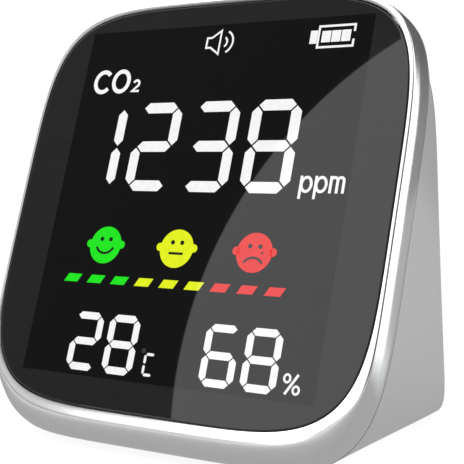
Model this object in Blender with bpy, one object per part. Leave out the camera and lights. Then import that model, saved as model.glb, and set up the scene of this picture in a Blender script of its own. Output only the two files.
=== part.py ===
"""Table-top air quality monitor: a wedge-shaped case with a leaning display and its works.

Design axes: X to the right, Y to the back, Z up, with the middle of the display window at zero
until stand_on_origin() puts the middle of the footprint there.
"""

import math

import bmesh
import bpy
from mathutils import Matrix, Vector

MM = 0.001

# Driving dimensions
LEAN = math.radians(19.3)
WALL = 2.0 * MM
GAP = 0.3 * MM
UNDERSIDE_Z = -49.1 * MM

# Outlines: half sizes and the height of the middle, up the leaning face
LENS_HALF_W = 43.9 * MM
LENS_HALF_H = 43.3 * MM
LENS_MID_V = -0.8 * MM
FRAME_HALF_W = 45.0 * MM
FRAME_HALF_H = 47.7 * MM
FRAME_MID_V = -3.8 * MM
FRAME_RISE = 0.7 * MM
FRAME_BELLY = 0.35 * MM
LENS_SQUARENESS = 4.8
FRAME_SQUARENESS = 5.0
OUTLINE_POINTS = 72

# Depths behind the front face
LENS_THICK = 1.5 * MM
LENS_BEVEL = 0.25 * MM
TAPE_FRONT = -1.8 * MM
TAPE_BACK = -2.1 * MM
LEDGE_FRONT = -2.4 * MM
LEDGE_BACK = -3.8 * MM
TAPE_INSET = 0.6 * MM
TAPE_WIDTH = 2.5 * MM
OPENING_HALF_W = 34.0 * MM
OPENING_TOP = 38.6 * MM
OPENING_LOW = -39.5 * MM
OPENING_SQUARENESS = 8.0
FRAME_DEPTH = 7.1 * MM
FRAME_WALL = 1.8 * MM
LIP_LENGTH = 1.5 * MM
LIP_THICK = 0.8 * MM
LIP_CLEARANCE = 0.9 * MM
LIP_ROOT = -6.0 * MM
RIM_STEPS = 7
RIM_CRISP = 6.0
RIM_SOFT = 2.3
RIM_NARROW = 1.2 * MM
RIM_WIDE = 6.0 * MM

# Rear housing
BACK_HALF_W = 35.6 * MM
BACK_TOP_Z = 35.0 * MM
BACK_FLARE = 0.6 * MM
BACK_Y = 46.0 * MM
BACK_LEAN = math.atan(0.1035)
BACK_SQUARENESS_TOP = 6.0
BACK_SQUARENESS_LOW = 18.0
BACK_EDGE_RADIUS = 3.8 * MM
EDGE_STEPS = 4

# Display stack and main board
PANEL_HALF_W = 32.5 * MM
PANEL_HALF_H = 38.0 * MM
PANEL_FRONT = -4.1 * MM
PANEL_THICK = 1.8 * MM
DIFFUSER_THICK = 0.4 * MM
GUIDE_THICK = 1.4 * MM
BACKLIGHT_WALL = 1.0 * MM
BACKLIGHT_SQUARENESS = 12.0
BOARD_THICK = 1.6 * MM
MAIN_BOARD_FRONT = -10.4 * MM
MAIN_BOARD_BACK = MAIN_BOARD_FRONT - BOARD_THICK
MAIN_BOARD_HALF_W = 40.2 * MM
MAIN_BOARD_TOP = 38.0 * MM
MAIN_BOARD_LOW = -34.0 * MM
MAIN_BOARD_SQUARENESS_TOP = 4.3
MAIN_BOARD_SQUARENESS_LOW = 8.0
MAIN_BOARD_POINTS = 48
TRAY_MARGIN_W = 0.8 * MM
TRAY_MARGIN_H = 0.4 * MM
LAYER_POINTS = 32

# Components on the back of the main board: centre, size and height, all in millimetres
MAIN_COMPONENTS = {
    "mcu_chip": ((22.0, -17.0), (10.0, 10.0), 1.4, "chip"),
    "climate_sensor": ((-29.0, 24.0), (5.0, 5.0), 1.2, "chip"),
    "co2_sensor": ((12.0, 14.0), (34.0, 20.0), 8.5, "gold"),
    "battery_socket": ((-20.0, -26.0), (8.0, 5.0), 5.0, "nylon"),
    "ribbon_socket_main": ((0.0, -8.0), (16.0, 4.0), 2.4, "nylon"),
}
CO2_SENSOR_EDGE = 1.2 * MM
BUZZER_SPOT = (-24.0 * MM, -2.0 * MM)
BUZZER_R = 6.0 * MM
BUZZER_H = 7.0 * MM
BUZZER_MOUTH_R = 1.0 * MM
BUZZER_MOUTH_DEPTH = 2.0 * MM
BUZZER_EDGE = 0.5 * MM

# Screws and posts
SCREW_SHANK_R = 1.0 * MM
SCREW_HOLE_R = SCREW_SHANK_R + GAP
SCREW_HEAD_R = 2.2 * MM
SCREW_HEAD_H = 1.5 * MM
SCREW_POINT = 0.6 * MM
SCREW_SIDES = 12
MAIN_SCREW_LENGTH = 6.5 * MM
REAR_SCREW_LENGTH = 6.0 * MM
CASE_SCREW_LENGTH = 6.5 * MM
POST_R = 2.5 * MM
POST_ROOT = 0.7 * MM
POST_SIDES = 16
MAIN_POSTS = [(side * 37.0 * MM, height * MM) for side in (-1, 1) for height in (-20.0, 22.0)]
REAR_POSTS = [(side * 24.0 * MM, 26.0 * MM) for side in (-1, 1)]
CASE_SCREW_X = 24.0 * MM
CASE_SCREW_Y = -3.5 * MM
CASE_SEAT_Z = UNDERSIDE_Z + 1.0 * MM
CASE_BOSS_H = 6.0 * MM
CASE_BOSS_HALF_W = 4.0 * MM
CASE_BOSS_FRONT = 7.0 * MM
CASE_BOSS_BACK = 4.0 * MM

# Rear board, buttons and socket: across to the right as seen from behind, then up the back wall
BUTTONS = {"power": -14.0 * MM, "mode": 0.0, "alarm": 14.0 * MM}
BUTTON_ROW = 38.0 * MM
BUTTON_R = 4.2 * MM
BUTTON_PROUD = 1.0 * MM
BUTTON_ROUND = 0.5 * MM
FLANGE_R = 5.3 * MM
FLANGE_THICK = 0.8 * MM
STEM_R = 1.5 * MM
STEM_END = -4.4 * MM
PLUNGER_R = 1.25 * MM
PLUNGER_SIDES = 12
PLUNGER_TOP = -4.7 * MM
PLUNGER_END = -6.2 * MM
SWITCH_HALF_W = 3.0 * MM
SWITCH_TOP = -5.3 * MM
SWITCH_BORE_END = -7.3 * MM
REAR_BOARD_FRONT = -8.8 * MM
REAR_BOARD_BACK = REAR_BOARD_FRONT - BOARD_THICK
REAR_BOARD_HALF_W = 28.0 * MM
REAR_BOARD_LOW = 8.0 * MM
REAR_BOARD_TOP = 43.0 * MM
SOCKET_ROW = 15.0 * MM
SOCKET_HALF_W = 4.5 * MM
SOCKET_HALF_H = 1.6 * MM
SOCKET_SHEET = 0.35 * MM
SOCKET_FLOOR = 1.5 * MM
SOCKET_RECESS = 0.2 * MM
TONGUE_SIZE = (6.4 * MM, 0.7 * MM)
TONGUE_RECESS = 1.2 * MM
SLOT_COUNT = 6
SLOT_PITCH = 3.6 * MM
SLOT_FIRST = 46.5 * MM
SLOT_HALF_L = 17.0 * MM
SLOT_HALF_W = 0.9 * MM
MESH_MARGIN = 2.0 * MM
MESH_THICK = 0.3 * MM

# Feet and battery
FOOT_R = 4.5 * MM
FOOT_PROUD = 0.8 * MM
FOOT_POCKET = 0.8 * MM
FOOT_ROUND = 0.3 * MM
FEET = {
    "front_left": (-27.0 * MM, 5.0 * MM),
    "front_right": (27.0 * MM, 5.0 * MM),
    "rear_left": (-26.0 * MM, 41.0 * MM),
    "rear_right": (26.0 * MM, 41.0 * MM),
}
BATTERY_HALF_W = 25.0 * MM
BATTERY_FRONT_Y = 3.5 * MM
BATTERY_BACK_Y = 35.5 * MM
BATTERY_THICK = 8.0 * MM
BATTERY_EDGE = 2.2 * MM
PAD_THICK = 1.0 * MM
PAD_INSET = 3.0 * MM
LEAD_R = 0.6 * MM
LEAD_SPREAD = 1.5 * MM
LEAD_START = 9.0 * MM
LEAD_LOOP = 2.5 * MM
LEAD_RISE = 6.0 * MM
LEAD_DROP = 3.0 * MM

# Ribbon between the boards: its ends are on the ribbon sockets
RIBBON_HALF_W = 7.0 * MM
RIBBON_THICK = 0.3 * MM
RIBBON_STEPS = 12
RIBBON_PULL_MAIN = 14.0 * MM
RIBBON_PULL_REAR = 10.0 * MM
RIBBON_ROW_REAR = 26.0 * MM
RIBBON_SOCKET_SIZE = (16.0 * MM, 4.0 * MM)
RIBBON_SOCKET_H = 2.4 * MM

FACES = {}


# ---------------------------------------------------------------- helpers


def clear_scene():
    for ob in list(bpy.data.objects):
        bpy.data.objects.remove(ob)


def material(name, colour, roughness, metallic=0.0):
    """A Principled BSDF material of one colour."""
    mat = bpy.data.materials.new(name)
    mat.use_nodes = True
    shader = mat.node_tree.nodes["Principled BSDF"]
    shader.inputs["Base Color"].default_value = (*colour, 1.0)
    shader.inputs["Roughness"].default_value = roughness
    shader.inputs["Metallic"].default_value = metallic
    return mat


def empty(name, parent=None, matrix=None):
    ob = bpy.data.objects.new(name, None)
    bpy.context.scene.collection.objects.link(ob)
    ob.parent = parent
    if matrix is not None:
        ob.matrix_local = matrix
    return ob


def finish_object(name, bm, mat, parent, location=(0, 0, 0), smooth=True):
    """Turn a bmesh into an object with outward faces."""
    bmesh.ops.recalc_face_normals(bm, faces=bm.faces)
    mesh = bpy.data.meshes.new(name)
    bm.to_mesh(mesh)
    bm.free()
    if smooth:
        mesh.shade_smooth()
        mesh.set_sharp_from_angle(angle=math.radians(35))
    ob = bpy.data.objects.new(name, mesh)
    ob.parent = parent
    ob.location = location
    bpy.context.scene.collection.objects.link(ob)
    if mat is not None:
        mesh.materials.append(mat)
    return ob


def add_rings(bm, rings, closed=False):
    """Skin a list of equal rings of points; closed joins the last ring to the first."""
    loops = [[bm.verts.new(point) for point in ring] for ring in rings]
    pairs = list(zip(loops, loops[1:]))
    if closed:
        pairs.append((loops[-1], loops[0]))
    for low, high in pairs:
        for i in range(len(low)):
            j = (i + 1) % len(low)
            bm.faces.new((low[i], low[j], high[j], high[i]))
    if not closed:
        bm.faces.new(loops[0])
        bm.faces.new(loops[-1])


def add_prism(bm, points, low, high):
    """A straight prism on a flat outline of (x, y) points."""
    add_rings(bm, [[Vector((x, y, z)) for x, y in points] for z in (low, high)])


def add_box(bm, x, y, z):
    """A box between pairs of limits."""
    add_prism(bm, [(x[0], y[0]), (x[1], y[0]), (x[1], y[1]), (x[0], y[1])], z[0], z[1])


def add_turned(bm, profile, centre=(0, 0), sides=24):
    """A turned solid about local Z from (radius, height) pairs, capped at both ends."""
    rings = []
    for radius, height in profile:
        rings.append([
            Vector((
                centre[0] + radius * math.cos(math.tau * i / sides),
                centre[1] + radius * math.sin(math.tau * i / sides),
                height,
            ))
            for i in range(sides)
        ])
    add_rings(bm, rings)


def outline(half_w, top, low, square_top, square_low, count=OUTLINE_POINTS):
    """A superellipse about the middle of its height, with more points towards its corners."""
    mid = (top + low) / 2
    half_h = (top - low) / 2
    quarter = count // 4
    points = []
    for i in range(count):
        turn, step = divmod(i, quarter)
        q = 2 * step / quarter - 1
        angle = math.radians(90 * turn + 45 + 45 * math.copysign(abs(q) ** 1.6, q))
        c, s = math.cos(angle), math.sin(angle)
        power = square_top if s >= 0 else square_low
        k = (abs(c) ** power + abs(s) ** power) ** (-1 / power)
        points.append((half_w * c * k, mid + half_h * s * k))
    return points


def stadium(half_length, half_width, centre=(0, 0), steps=5):
    """A slot outline with round ends."""
    points = []
    for side in (1, -1):
        for i in range(steps + 1):
            a = math.pi * (i / steps - 0.5) + (0 if side == 1 else math.pi)
            x = side * (half_length - half_width) + half_width * math.cos(a)
            points.append((centre[0] + x, centre[1] + half_width * math.sin(a)))
    return points


def boolean(target, tool, operation):
    """Cut or join a tool object, which is left out of the model."""
    tool.hide_render = True
    tool.display_type = "WIRE"
    mod = target.modifiers.new(tool.name, "BOOLEAN")
    mod.operation = operation
    mod.object = tool


# ---------------------------------------------------------------- shared surfaces


def on_face(u, v, w):
    """A point of the leaning face's axes in the design axes."""
    return Vector((
        u,
        v * math.sin(LEAN) - w * math.cos(LEAN),
        v * math.cos(LEAN) + w * math.sin(LEAN),
    ))


def lens_outline(grow):
    top = LENS_MID_V + LENS_HALF_H + grow
    low = LENS_MID_V - LENS_HALF_H - grow
    return outline(LENS_HALF_W + grow, top, low, LENS_SQUARENESS, LENS_SQUARENESS)


def frame_outline(grow, rise=FRAME_RISE):
    """The frame's outline, which climbs a little from its front edge to its rear one."""
    top = FRAME_MID_V + FRAME_HALF_H + grow + rise
    low = FRAME_MID_V - FRAME_HALF_H - grow + rise
    return outline(FRAME_HALF_W + grow, top, low, FRAME_SQUARENESS, FRAME_SQUARENESS)


def opening_outline():
    return outline(OPENING_HALF_W, OPENING_TOP, OPENING_LOW, OPENING_SQUARENESS, OPENING_SQUARENESS)


def face_ring(points, w, lowest):
    """An outline set at depth w, kept above a level floor."""
    ring = []
    for u, v in points:
        p = on_face(u, v, w)
        p.z = max(p.z, lowest)
        ring.append(p)
    return ring


def back_point(x, up, out):
    """A point in the design axes: across in X, then up and out from the foot of the back wall."""
    return Vector((
        x,
        BACK_Y - UNDERSIDE_Z * math.tan(BACK_LEAN) - up * math.sin(BACK_LEAN) + out * math.cos(BACK_LEAN),
        UNDERSIDE_Z + up * math.cos(BACK_LEAN) + out * math.sin(BACK_LEAN),
    ))


def back_ring(inset, out, lowest):
    """The back wall's outline drawn in by inset, out from the wall."""
    top = (BACK_TOP_Z - UNDERSIDE_Z) / math.cos(BACK_LEAN)
    points = outline(
        BACK_HALF_W - inset, top - inset, inset, BACK_SQUARENESS_TOP, BACK_SQUARENESS_LOW
    )
    ring = []
    for x, up in points:
        flare = BACK_FLARE * max(1 - up / top, 0) ** 3
        p = back_point(x + math.copysign(flare, x), up, out)
        p.z = max(p.z, lowest)
        ring.append(p)
    return ring


# ---------------------------------------------------------------- case


def rim_rings():
    """The visible skin of the frame, from the lens gap out and round to its rear edge.

    Where the rim is narrow its edge is crisp, and the wide chin is one soft curve.
    """
    inner = lens_outline(GAP)
    outer = frame_outline(0, 0)
    rings = [[] for _ in range(RIM_STEPS + 1)]
    for (u0, v0), (u1, v1) in zip(inner, outer):
        width = math.hypot(u1 - u0, v1 - v0)
        mix = min(max((width - RIM_NARROW) / (RIM_WIDE - RIM_NARROW), 0), 1)
        power = 2 / (RIM_CRISP + (RIM_SOFT - RIM_CRISP) * mix * mix * (3 - 2 * mix))
        for i, ring in enumerate(rings):
            a = math.pi / 2 * i / RIM_STEPS
            out = math.sin(a) ** power
            back = 1 - math.cos(a) ** power if i < RIM_STEPS else 1
            belly = FRAME_BELLY * math.sin(math.pi * math.sqrt(back)) / width
            across = out + belly
            v = v0 + (v1 - v0) * across + FRAME_RISE * back
            p = on_face(u0 + (u1 - u0) * across, v, -FRAME_DEPTH * back)
            p.z = max(p.z, UNDERSIDE_Z)
            ring.append(p)
    return rings


def front_frame(mat, root):
    lip_out = WALL + LIP_CLEARANCE
    lip_in = lip_out + LIP_THICK
    lip_end = -FRAME_DEPTH - LIP_LENGTH
    floor = UNDERSIDE_Z + WALL + GAP
    rings = rim_rings()
    rings.append(face_ring(frame_outline(-lip_out), -FRAME_DEPTH, floor))
    rings.append(face_ring(frame_outline(-lip_out), lip_end, floor))
    rings.append(face_ring(frame_outline(-lip_in), lip_end, floor + LIP_THICK))
    rings.append(face_ring(frame_outline(-lip_in), -FRAME_DEPTH, floor + LIP_THICK))
    rings.append(face_ring(frame_outline(-FRAME_WALL), LIP_ROOT, UNDERSIDE_Z + WALL))
    rings.append(face_ring(frame_outline(-FRAME_WALL), LEDGE_BACK, UNDERSIDE_Z + WALL))
    rings.append(face_ring(opening_outline(), LEDGE_BACK, UNDERSIDE_Z))
    rings.append(face_ring(opening_outline(), LEDGE_FRONT, UNDERSIDE_Z))
    rings.append(face_ring(lens_outline(GAP), LEDGE_FRONT, UNDERSIDE_Z))
    bm = bmesh.new()
    add_rings(bm, rings, closed=True)
    frame = finish_object("front_frame", bm, mat, root)

    posts = bmesh.new()
    post = [(POST_R, MAIN_BOARD_FRONT + GAP), (POST_R, LEDGE_BACK + POST_ROOT)]
    for spot in MAIN_POSTS:
        add_turned(posts, post, spot, POST_SIDES)
    boolean(frame, finish_object("frame_posts", posts, mat, FACES["face"]), "UNION")

    bosses = bmesh.new()
    for side in (-1, 1):
        x = side * CASE_SCREW_X
        add_box(
            bosses,
            (x - CASE_BOSS_HALF_W, x + CASE_BOSS_HALF_W),
            (CASE_SCREW_Y - CASE_BOSS_FRONT, CASE_SCREW_Y + CASE_BOSS_BACK),
            (floor + LIP_THICK / 2, floor + CASE_BOSS_H),
        )
    boolean(frame, finish_object("frame_bosses", bosses, mat, root), "UNION")

    pilots = bmesh.new()
    pilot = [(SCREW_HOLE_R, MAIN_BOARD_FRONT), (SCREW_HOLE_R, LEDGE_BACK - GAP)]
    for spot in MAIN_POSTS:
        add_turned(pilots, pilot, spot, SCREW_SIDES)
    boolean(frame, finish_object("frame_pilots", pilots, mat, FACES["face"]), "DIFFERENCE")

    case_pilots = bmesh.new()
    pilot = [(SCREW_HOLE_R, UNDERSIDE_Z), (SCREW_HOLE_R, floor + CASE_BOSS_H + MM)]
    for side in (-1, 1):
        add_turned(case_pilots, pilot, (side * CASE_SCREW_X, CASE_SCREW_Y), SCREW_SIDES)
    boolean(frame, finish_object("frame_case_pilots", case_pilots, mat, root), "DIFFERENCE")


def front_lens(mat):
    bm = bmesh.new()
    rings = []
    for grow, w in ((0, -LENS_THICK), (0, -LENS_BEVEL), (-LENS_BEVEL, 0)):
        rings.append([Vector((u, v, w)) for u, v in lens_outline(grow)])
    add_rings(bm, rings)
    finish_object("front_lens", bm, mat, FACES["face"])


def lens_tape(mat):
    outer, inner = lens_outline(-TAPE_INSET), lens_outline(-TAPE_WIDTH)
    rings = []
    for points, w in ((outer, TAPE_FRONT), (outer, TAPE_BACK), (inner, TAPE_BACK), (inner, TAPE_FRONT)):
        rings.append([Vector((u, v, w)) for u, v in points])
    bm = bmesh.new()
    add_rings(bm, rings, closed=True)
    finish_object("lens_tape", bm, mat, FACES["face"])


def housing_skin():
    """Rings from the housing's front edge to its back wall, outside."""
    rings = [face_ring(frame_outline(0), -FRAME_DEPTH - GAP, UNDERSIDE_Z)]
    for i in range(EDGE_STEPS + 1):
        a = math.pi / 2 * i / EDGE_STEPS
        inset = BACK_EDGE_RADIUS * (1 - math.cos(a))
        out = BACK_EDGE_RADIUS * (math.sin(a) - 1)
        rings.append(back_ring(inset, out, UNDERSIDE_Z))
    return rings


def housing_lining():
    """Rings from the back wall's inside to the housing's front edge."""
    floor = UNDERSIDE_Z + WALL
    return [
        back_ring(WALL + BACK_EDGE_RADIUS, -WALL, floor),
        back_ring(WALL, -BACK_EDGE_RADIUS - WALL, floor),
        face_ring(frame_outline(-WALL), -FRAME_DEPTH - GAP, floor),
    ]


def rear_housing(mat, root):
    bm = bmesh.new()
    rings = housing_skin() + housing_lining()
    loops = [[bm.verts.new(point) for point in ring] for ring in rings]
    back_skin, back_lining = EDGE_STEPS + 1, EDGE_STEPS + 2
    pairs = [(k, (k + 1) % len(loops)) for k in range(len(loops)) if k != back_skin]
    for low, high in pairs:
        for i in range(OUTLINE_POINTS):
            j = (i + 1) % OUTLINE_POINTS
            bm.faces.new((loops[low][i], loops[low][j], loops[high][j], loops[high][i]))
    bm.faces.new(loops[back_skin])
    bm.faces.new(loops[back_lining])
    housing = finish_object("rear_housing", bm, mat, root)

    posts = bmesh.new()
    post = [(POST_R, REAR_BOARD_FRONT + GAP), (POST_R, -WALL + POST_ROOT)]
    for spot in REAR_POSTS:
        add_turned(posts, post, spot, POST_SIDES)
    boolean(housing, finish_object("housing_posts", posts, mat, FACES["back"]), "UNION")

    cuts = bmesh.new()
    through = (-WALL - MM, MM)
    button_hole = [(BUTTON_R + GAP, depth) for depth in through]
    for x in BUTTONS.values():
        add_turned(cuts, button_hole, (x, BUTTON_ROW))
    add_prism(cuts, stadium(SOCKET_HALF_W + GAP, SOCKET_HALF_H + GAP, (0, SOCKET_ROW)), *through)
    for i in range(SLOT_COUNT):
        slot = stadium(SLOT_HALF_L, SLOT_HALF_W, (0, SLOT_FIRST + i * SLOT_PITCH), 3)
        add_prism(cuts, slot, *through)
    pilot = [(SCREW_HOLE_R, REAR_BOARD_FRONT), (SCREW_HOLE_R, -WALL - GAP)]
    for spot in REAR_POSTS:
        add_turned(cuts, pilot, spot, SCREW_SIDES)
    boolean(housing, finish_object("housing_cuts", cuts, mat, FACES["back"]), "DIFFERENCE")

    under = bmesh.new()
    below = UNDERSIDE_Z - MM
    pocket = [(FOOT_R + GAP, below), (FOOT_R + GAP, UNDERSIDE_Z + FOOT_POCKET)]
    for spot in FEET.values():
        add_turned(under, pocket, spot)
    recess = [
        (SCREW_HEAD_R + GAP, below),
        (SCREW_HEAD_R + GAP, CASE_SEAT_Z),
        (SCREW_HOLE_R, CASE_SEAT_Z),
        (SCREW_HOLE_R, UNDERSIDE_Z + WALL + MM),
    ]
    for side in (-1, 1):
        add_turned(under, recess, (side * CASE_SCREW_X, CASE_SCREW_Y), SCREW_SIDES)
    boolean(housing, finish_object("housing_under_cuts", under, mat, root), "DIFFERENCE")


def feet(mat, root):
    top = UNDERSIDE_Z + FOOT_POCKET - GAP
    low = UNDERSIDE_Z - FOOT_PROUD
    for name, (x, y) in FEET.items():
        bm = bmesh.new()
        add_turned(bm, [(FOOT_R - FOOT_ROUND, low), (FOOT_R, low + FOOT_ROUND), (FOOT_R, top)])
        finish_object("foot_" + name, bm, mat, root, (x, y, 0))


def vent_mesh(mat):
    low = SLOT_FIRST - SLOT_HALF_W - MESH_MARGIN
    high = SLOT_FIRST + (SLOT_COUNT - 1) * SLOT_PITCH + SLOT_HALF_W + MESH_MARGIN
    half = SLOT_HALF_L + MESH_MARGIN
    bm = bmesh.new()
    add_box(bm, (-half, half), (low, high), (-WALL - GAP - MESH_THICK, -WALL - GAP))
    finish_object("vent_mesh", bm, mat, FACES["back"])


# ---------------------------------------------------------------- buttons


def button(name, x, mat):
    """A push button: cap, retaining flange and stem, on its own axis."""
    flange_front = -WALL - GAP
    flange_back = flange_front - FLANGE_THICK
    ease = BUTTON_ROUND * (1 - math.cos(math.pi / 4))
    profile = [
        (STEM_R, STEM_END),
        (STEM_R, flange_back),
        (FLANGE_R, flange_back),
        (FLANGE_R, flange_front),
        (BUTTON_R, flange_front),
        (BUTTON_R, BUTTON_PROUD - BUTTON_ROUND),
        (BUTTON_R - ease, BUTTON_PROUD - ease),
        (BUTTON_R - BUTTON_ROUND, BUTTON_PROUD),
    ]
    bm = bmesh.new()
    add_turned(bm, profile)
    finish_object("button_" + name, bm, mat, FACES["back"], (x, BUTTON_ROW, 0))


def plunger(name, x, mat):
    bm = bmesh.new()
    add_turned(bm, [(PLUNGER_R, PLUNGER_END), (PLUNGER_R, PLUNGER_TOP)], sides=PLUNGER_SIDES)
    finish_object("plunger_" + name, bm, mat, FACES["back"], (x, BUTTON_ROW, 0))


def tact_switch(name, x, mat):
    """A square switch body with a well for its plunger."""
    square = (-SWITCH_HALF_W, SWITCH_HALF_W)
    spot = (x, BUTTON_ROW, 0)
    bm = bmesh.new()
    add_box(bm, square, square, (REAR_BOARD_FRONT + GAP, SWITCH_TOP))
    switch = finish_object("switch_" + name, bm, mat, FACES["back"], spot, smooth=False)
    well = bmesh.new()
    bore = PLUNGER_R + GAP
    add_turned(well, [(bore, SWITCH_BORE_END), (bore, SWITCH_TOP + MM)], sides=PLUNGER_SIDES)
    boolean(switch, finish_object("well_" + name, well, mat, FACES["back"], spot), "DIFFERENCE")


# ---------------------------------------------------------------- display and boards


def display_stack(mats):
    """The panel, diffuser and light guide in their frame, on the main board."""

    def layer(half_w, half_h):
        return outline(half_w, half_h, -half_h, BACKLIGHT_SQUARENESS, BACKLIGHT_SQUARENESS, LAYER_POINTS)

    tray_w = PANEL_HALF_W + TRAY_MARGIN_W
    tray_h = PANEL_HALF_H + TRAY_MARGIN_H
    well_w, well_h = tray_w - BACKLIGHT_WALL, tray_h - BACKLIGHT_WALL
    bm = bmesh.new()
    add_box(
        bm,
        (-PANEL_HALF_W, PANEL_HALF_W),
        (-PANEL_HALF_H, PANEL_HALF_H),
        (PANEL_FRONT - PANEL_THICK, PANEL_FRONT),
    )
    finish_object("display_panel", bm, mats["panel"], FACES["face"], smooth=False)

    tray_front = PANEL_FRONT - PANEL_THICK - GAP
    w = tray_front
    for name, thick, key in (
        ("diffuser_sheet", DIFFUSER_THICK, "diffuser"),
        ("light_guide", GUIDE_THICK, "guide"),
    ):
        bm = bmesh.new()
        add_prism(bm, layer(well_w - GAP, well_h - GAP), w - thick, w)
        finish_object(name, bm, mats[key], FACES["face"], smooth=False)
        w -= thick + GAP

    rings = []
    for points, depth in (
        (layer(well_w, well_h), w),
        (layer(well_w, well_h), tray_front),
        (layer(tray_w, tray_h), tray_front),
        (layer(tray_w, tray_h), MAIN_BOARD_FRONT + GAP),
    ):
        rings.append([Vector((x, y, depth)) for x, y in points])
    bm = bmesh.new()
    add_rings(bm, rings)
    finish_object("backlight_frame", bm, mats["tray"], FACES["face"], smooth=False)


def main_board(mat):
    shape = outline(
        MAIN_BOARD_HALF_W,
        MAIN_BOARD_TOP,
        MAIN_BOARD_LOW,
        MAIN_BOARD_SQUARENESS_TOP,
        MAIN_BOARD_SQUARENESS_LOW,
        MAIN_BOARD_POINTS,
    )
    bm = bmesh.new()
    add_prism(bm, shape, MAIN_BOARD_BACK, MAIN_BOARD_FRONT)
    board = finish_object("main_board", bm, mat, FACES["face"], smooth=False)
    holes = bmesh.new()
    hole = [(SCREW_HOLE_R, MAIN_BOARD_BACK - MM), (SCREW_HOLE_R, MAIN_BOARD_FRONT + MM)]
    for spot in MAIN_POSTS:
        add_turned(holes, hole, spot, SCREW_SIDES)
    boolean(board, finish_object("main_board_holes", holes, mat, FACES["face"]), "DIFFERENCE")


def rear_board(mat):
    half = REAR_BOARD_HALF_W
    bm = bmesh.new()
    add_box(bm, (-half, half), (REAR_BOARD_LOW, REAR_BOARD_TOP), (REAR_BOARD_BACK, REAR_BOARD_FRONT))
    board = finish_object("rear_board", bm, mat, FACES["back"], smooth=False)
    holes = bmesh.new()
    hole = [(SCREW_HOLE_R, REAR_BOARD_BACK - MM), (SCREW_HOLE_R, REAR_BOARD_FRONT + MM)]
    for spot in REAR_POSTS:
        add_turned(holes, hole, spot, SCREW_SIDES)
    boolean(board, finish_object("rear_board_holes", holes, mat, FACES["back"]), "DIFFERENCE")


def block(name, axes, centre, size, depth, mat, smooth=False):
    """A box-shaped component: centre and size across its board, and its pair of depths."""
    bm = bmesh.new()
    x, y = centre
    a, b = size[0] / 2, size[1] / 2
    add_box(bm, (x - a, x + a), (y - b, y + b), depth)
    return finish_object(name, bm, mat, FACES[axes], smooth=smooth)


def main_components(mats):
    back = MAIN_BOARD_BACK - GAP
    for name, (centre, size, height, key) in MAIN_COMPONENTS.items():
        centre = [c * MM for c in centre]
        size = [c * MM for c in size]
        part = block(name, "face", centre, size, (back - height * MM, back), mats[key])
        if name == "co2_sensor":
            bevel = part.modifiers.new("edges", "BEVEL")
            bevel.width = CO2_SENSOR_EDGE
            bevel.segments = 2


def buzzer(mat):
    """A round buzzer with a sound hole in the middle of its top."""
    root = MAIN_BOARD_BACK - GAP
    top = root - BUZZER_H
    bm = bmesh.new()
    add_turned(bm, [
        (BUZZER_MOUTH_R, top + BUZZER_MOUTH_DEPTH),
        (BUZZER_MOUTH_R, top),
        (BUZZER_R - BUZZER_EDGE, top),
        (BUZZER_R, top + BUZZER_EDGE),
        (BUZZER_R, root),
    ])
    finish_object("buzzer", bm, mat, FACES["face"], (*BUZZER_SPOT, 0))


def rear_ribbon_socket(mat):
    back = REAR_BOARD_BACK - GAP
    depth = (back - RIBBON_SOCKET_H, back)
    block("ribbon_socket_rear", "back", (0, RIBBON_ROW_REAR), RIBBON_SOCKET_SIZE, depth, mat)


def charging_socket(shell_mat, tongue_mat):
    """A sheet-metal socket with a contact tongue in it."""
    centre = (0, SOCKET_ROW)
    outer = stadium(SOCKET_HALF_W, SOCKET_HALF_H, centre)
    hollow = stadium(SOCKET_HALF_W - SOCKET_SHEET, SOCKET_HALF_H - SOCKET_SHEET, centre)
    rings = []
    for points, depth in (
        (hollow, REAR_BOARD_FRONT + SOCKET_FLOOR),
        (hollow, -SOCKET_RECESS),
        (outer, -SOCKET_RECESS),
        (outer, REAR_BOARD_FRONT + GAP),
    ):
        rings.append([Vector((x, y, depth)) for x, y in points])
    bm = bmesh.new()
    add_rings(bm, rings)
    finish_object("charging_socket", bm, shell_mat, FACES["back"])
    depth = (REAR_BOARD_FRONT + SOCKET_FLOOR + GAP, -TONGUE_RECESS)
    block("socket_tongue", "back", centre, TONGUE_SIZE, depth, tongue_mat)


def battery(mats, root):
    floor = UNDERSIDE_Z + WALL + GAP
    half = BATTERY_HALF_W
    y = (BATTERY_FRONT_Y, BATTERY_BACK_Y)
    pad_half = half - PAD_INSET
    pad_y = (BATTERY_FRONT_Y + PAD_INSET, BATTERY_BACK_Y - PAD_INSET)
    bm = bmesh.new()
    add_box(bm, (-pad_half, pad_half), pad_y, (floor, floor + PAD_THICK))
    finish_object("battery_pad", bm, mats["foam"], root, smooth=False)
    low = floor + PAD_THICK + GAP
    bm = bmesh.new()
    add_box(bm, (-half, half), y, (low, low + BATTERY_THICK))
    cell = finish_object("battery", bm, mats["foil"], root)
    bevel = cell.modifiers.new("edges", "BEVEL")
    bevel.width = BATTERY_EDGE
    bevel.segments = 3


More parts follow.
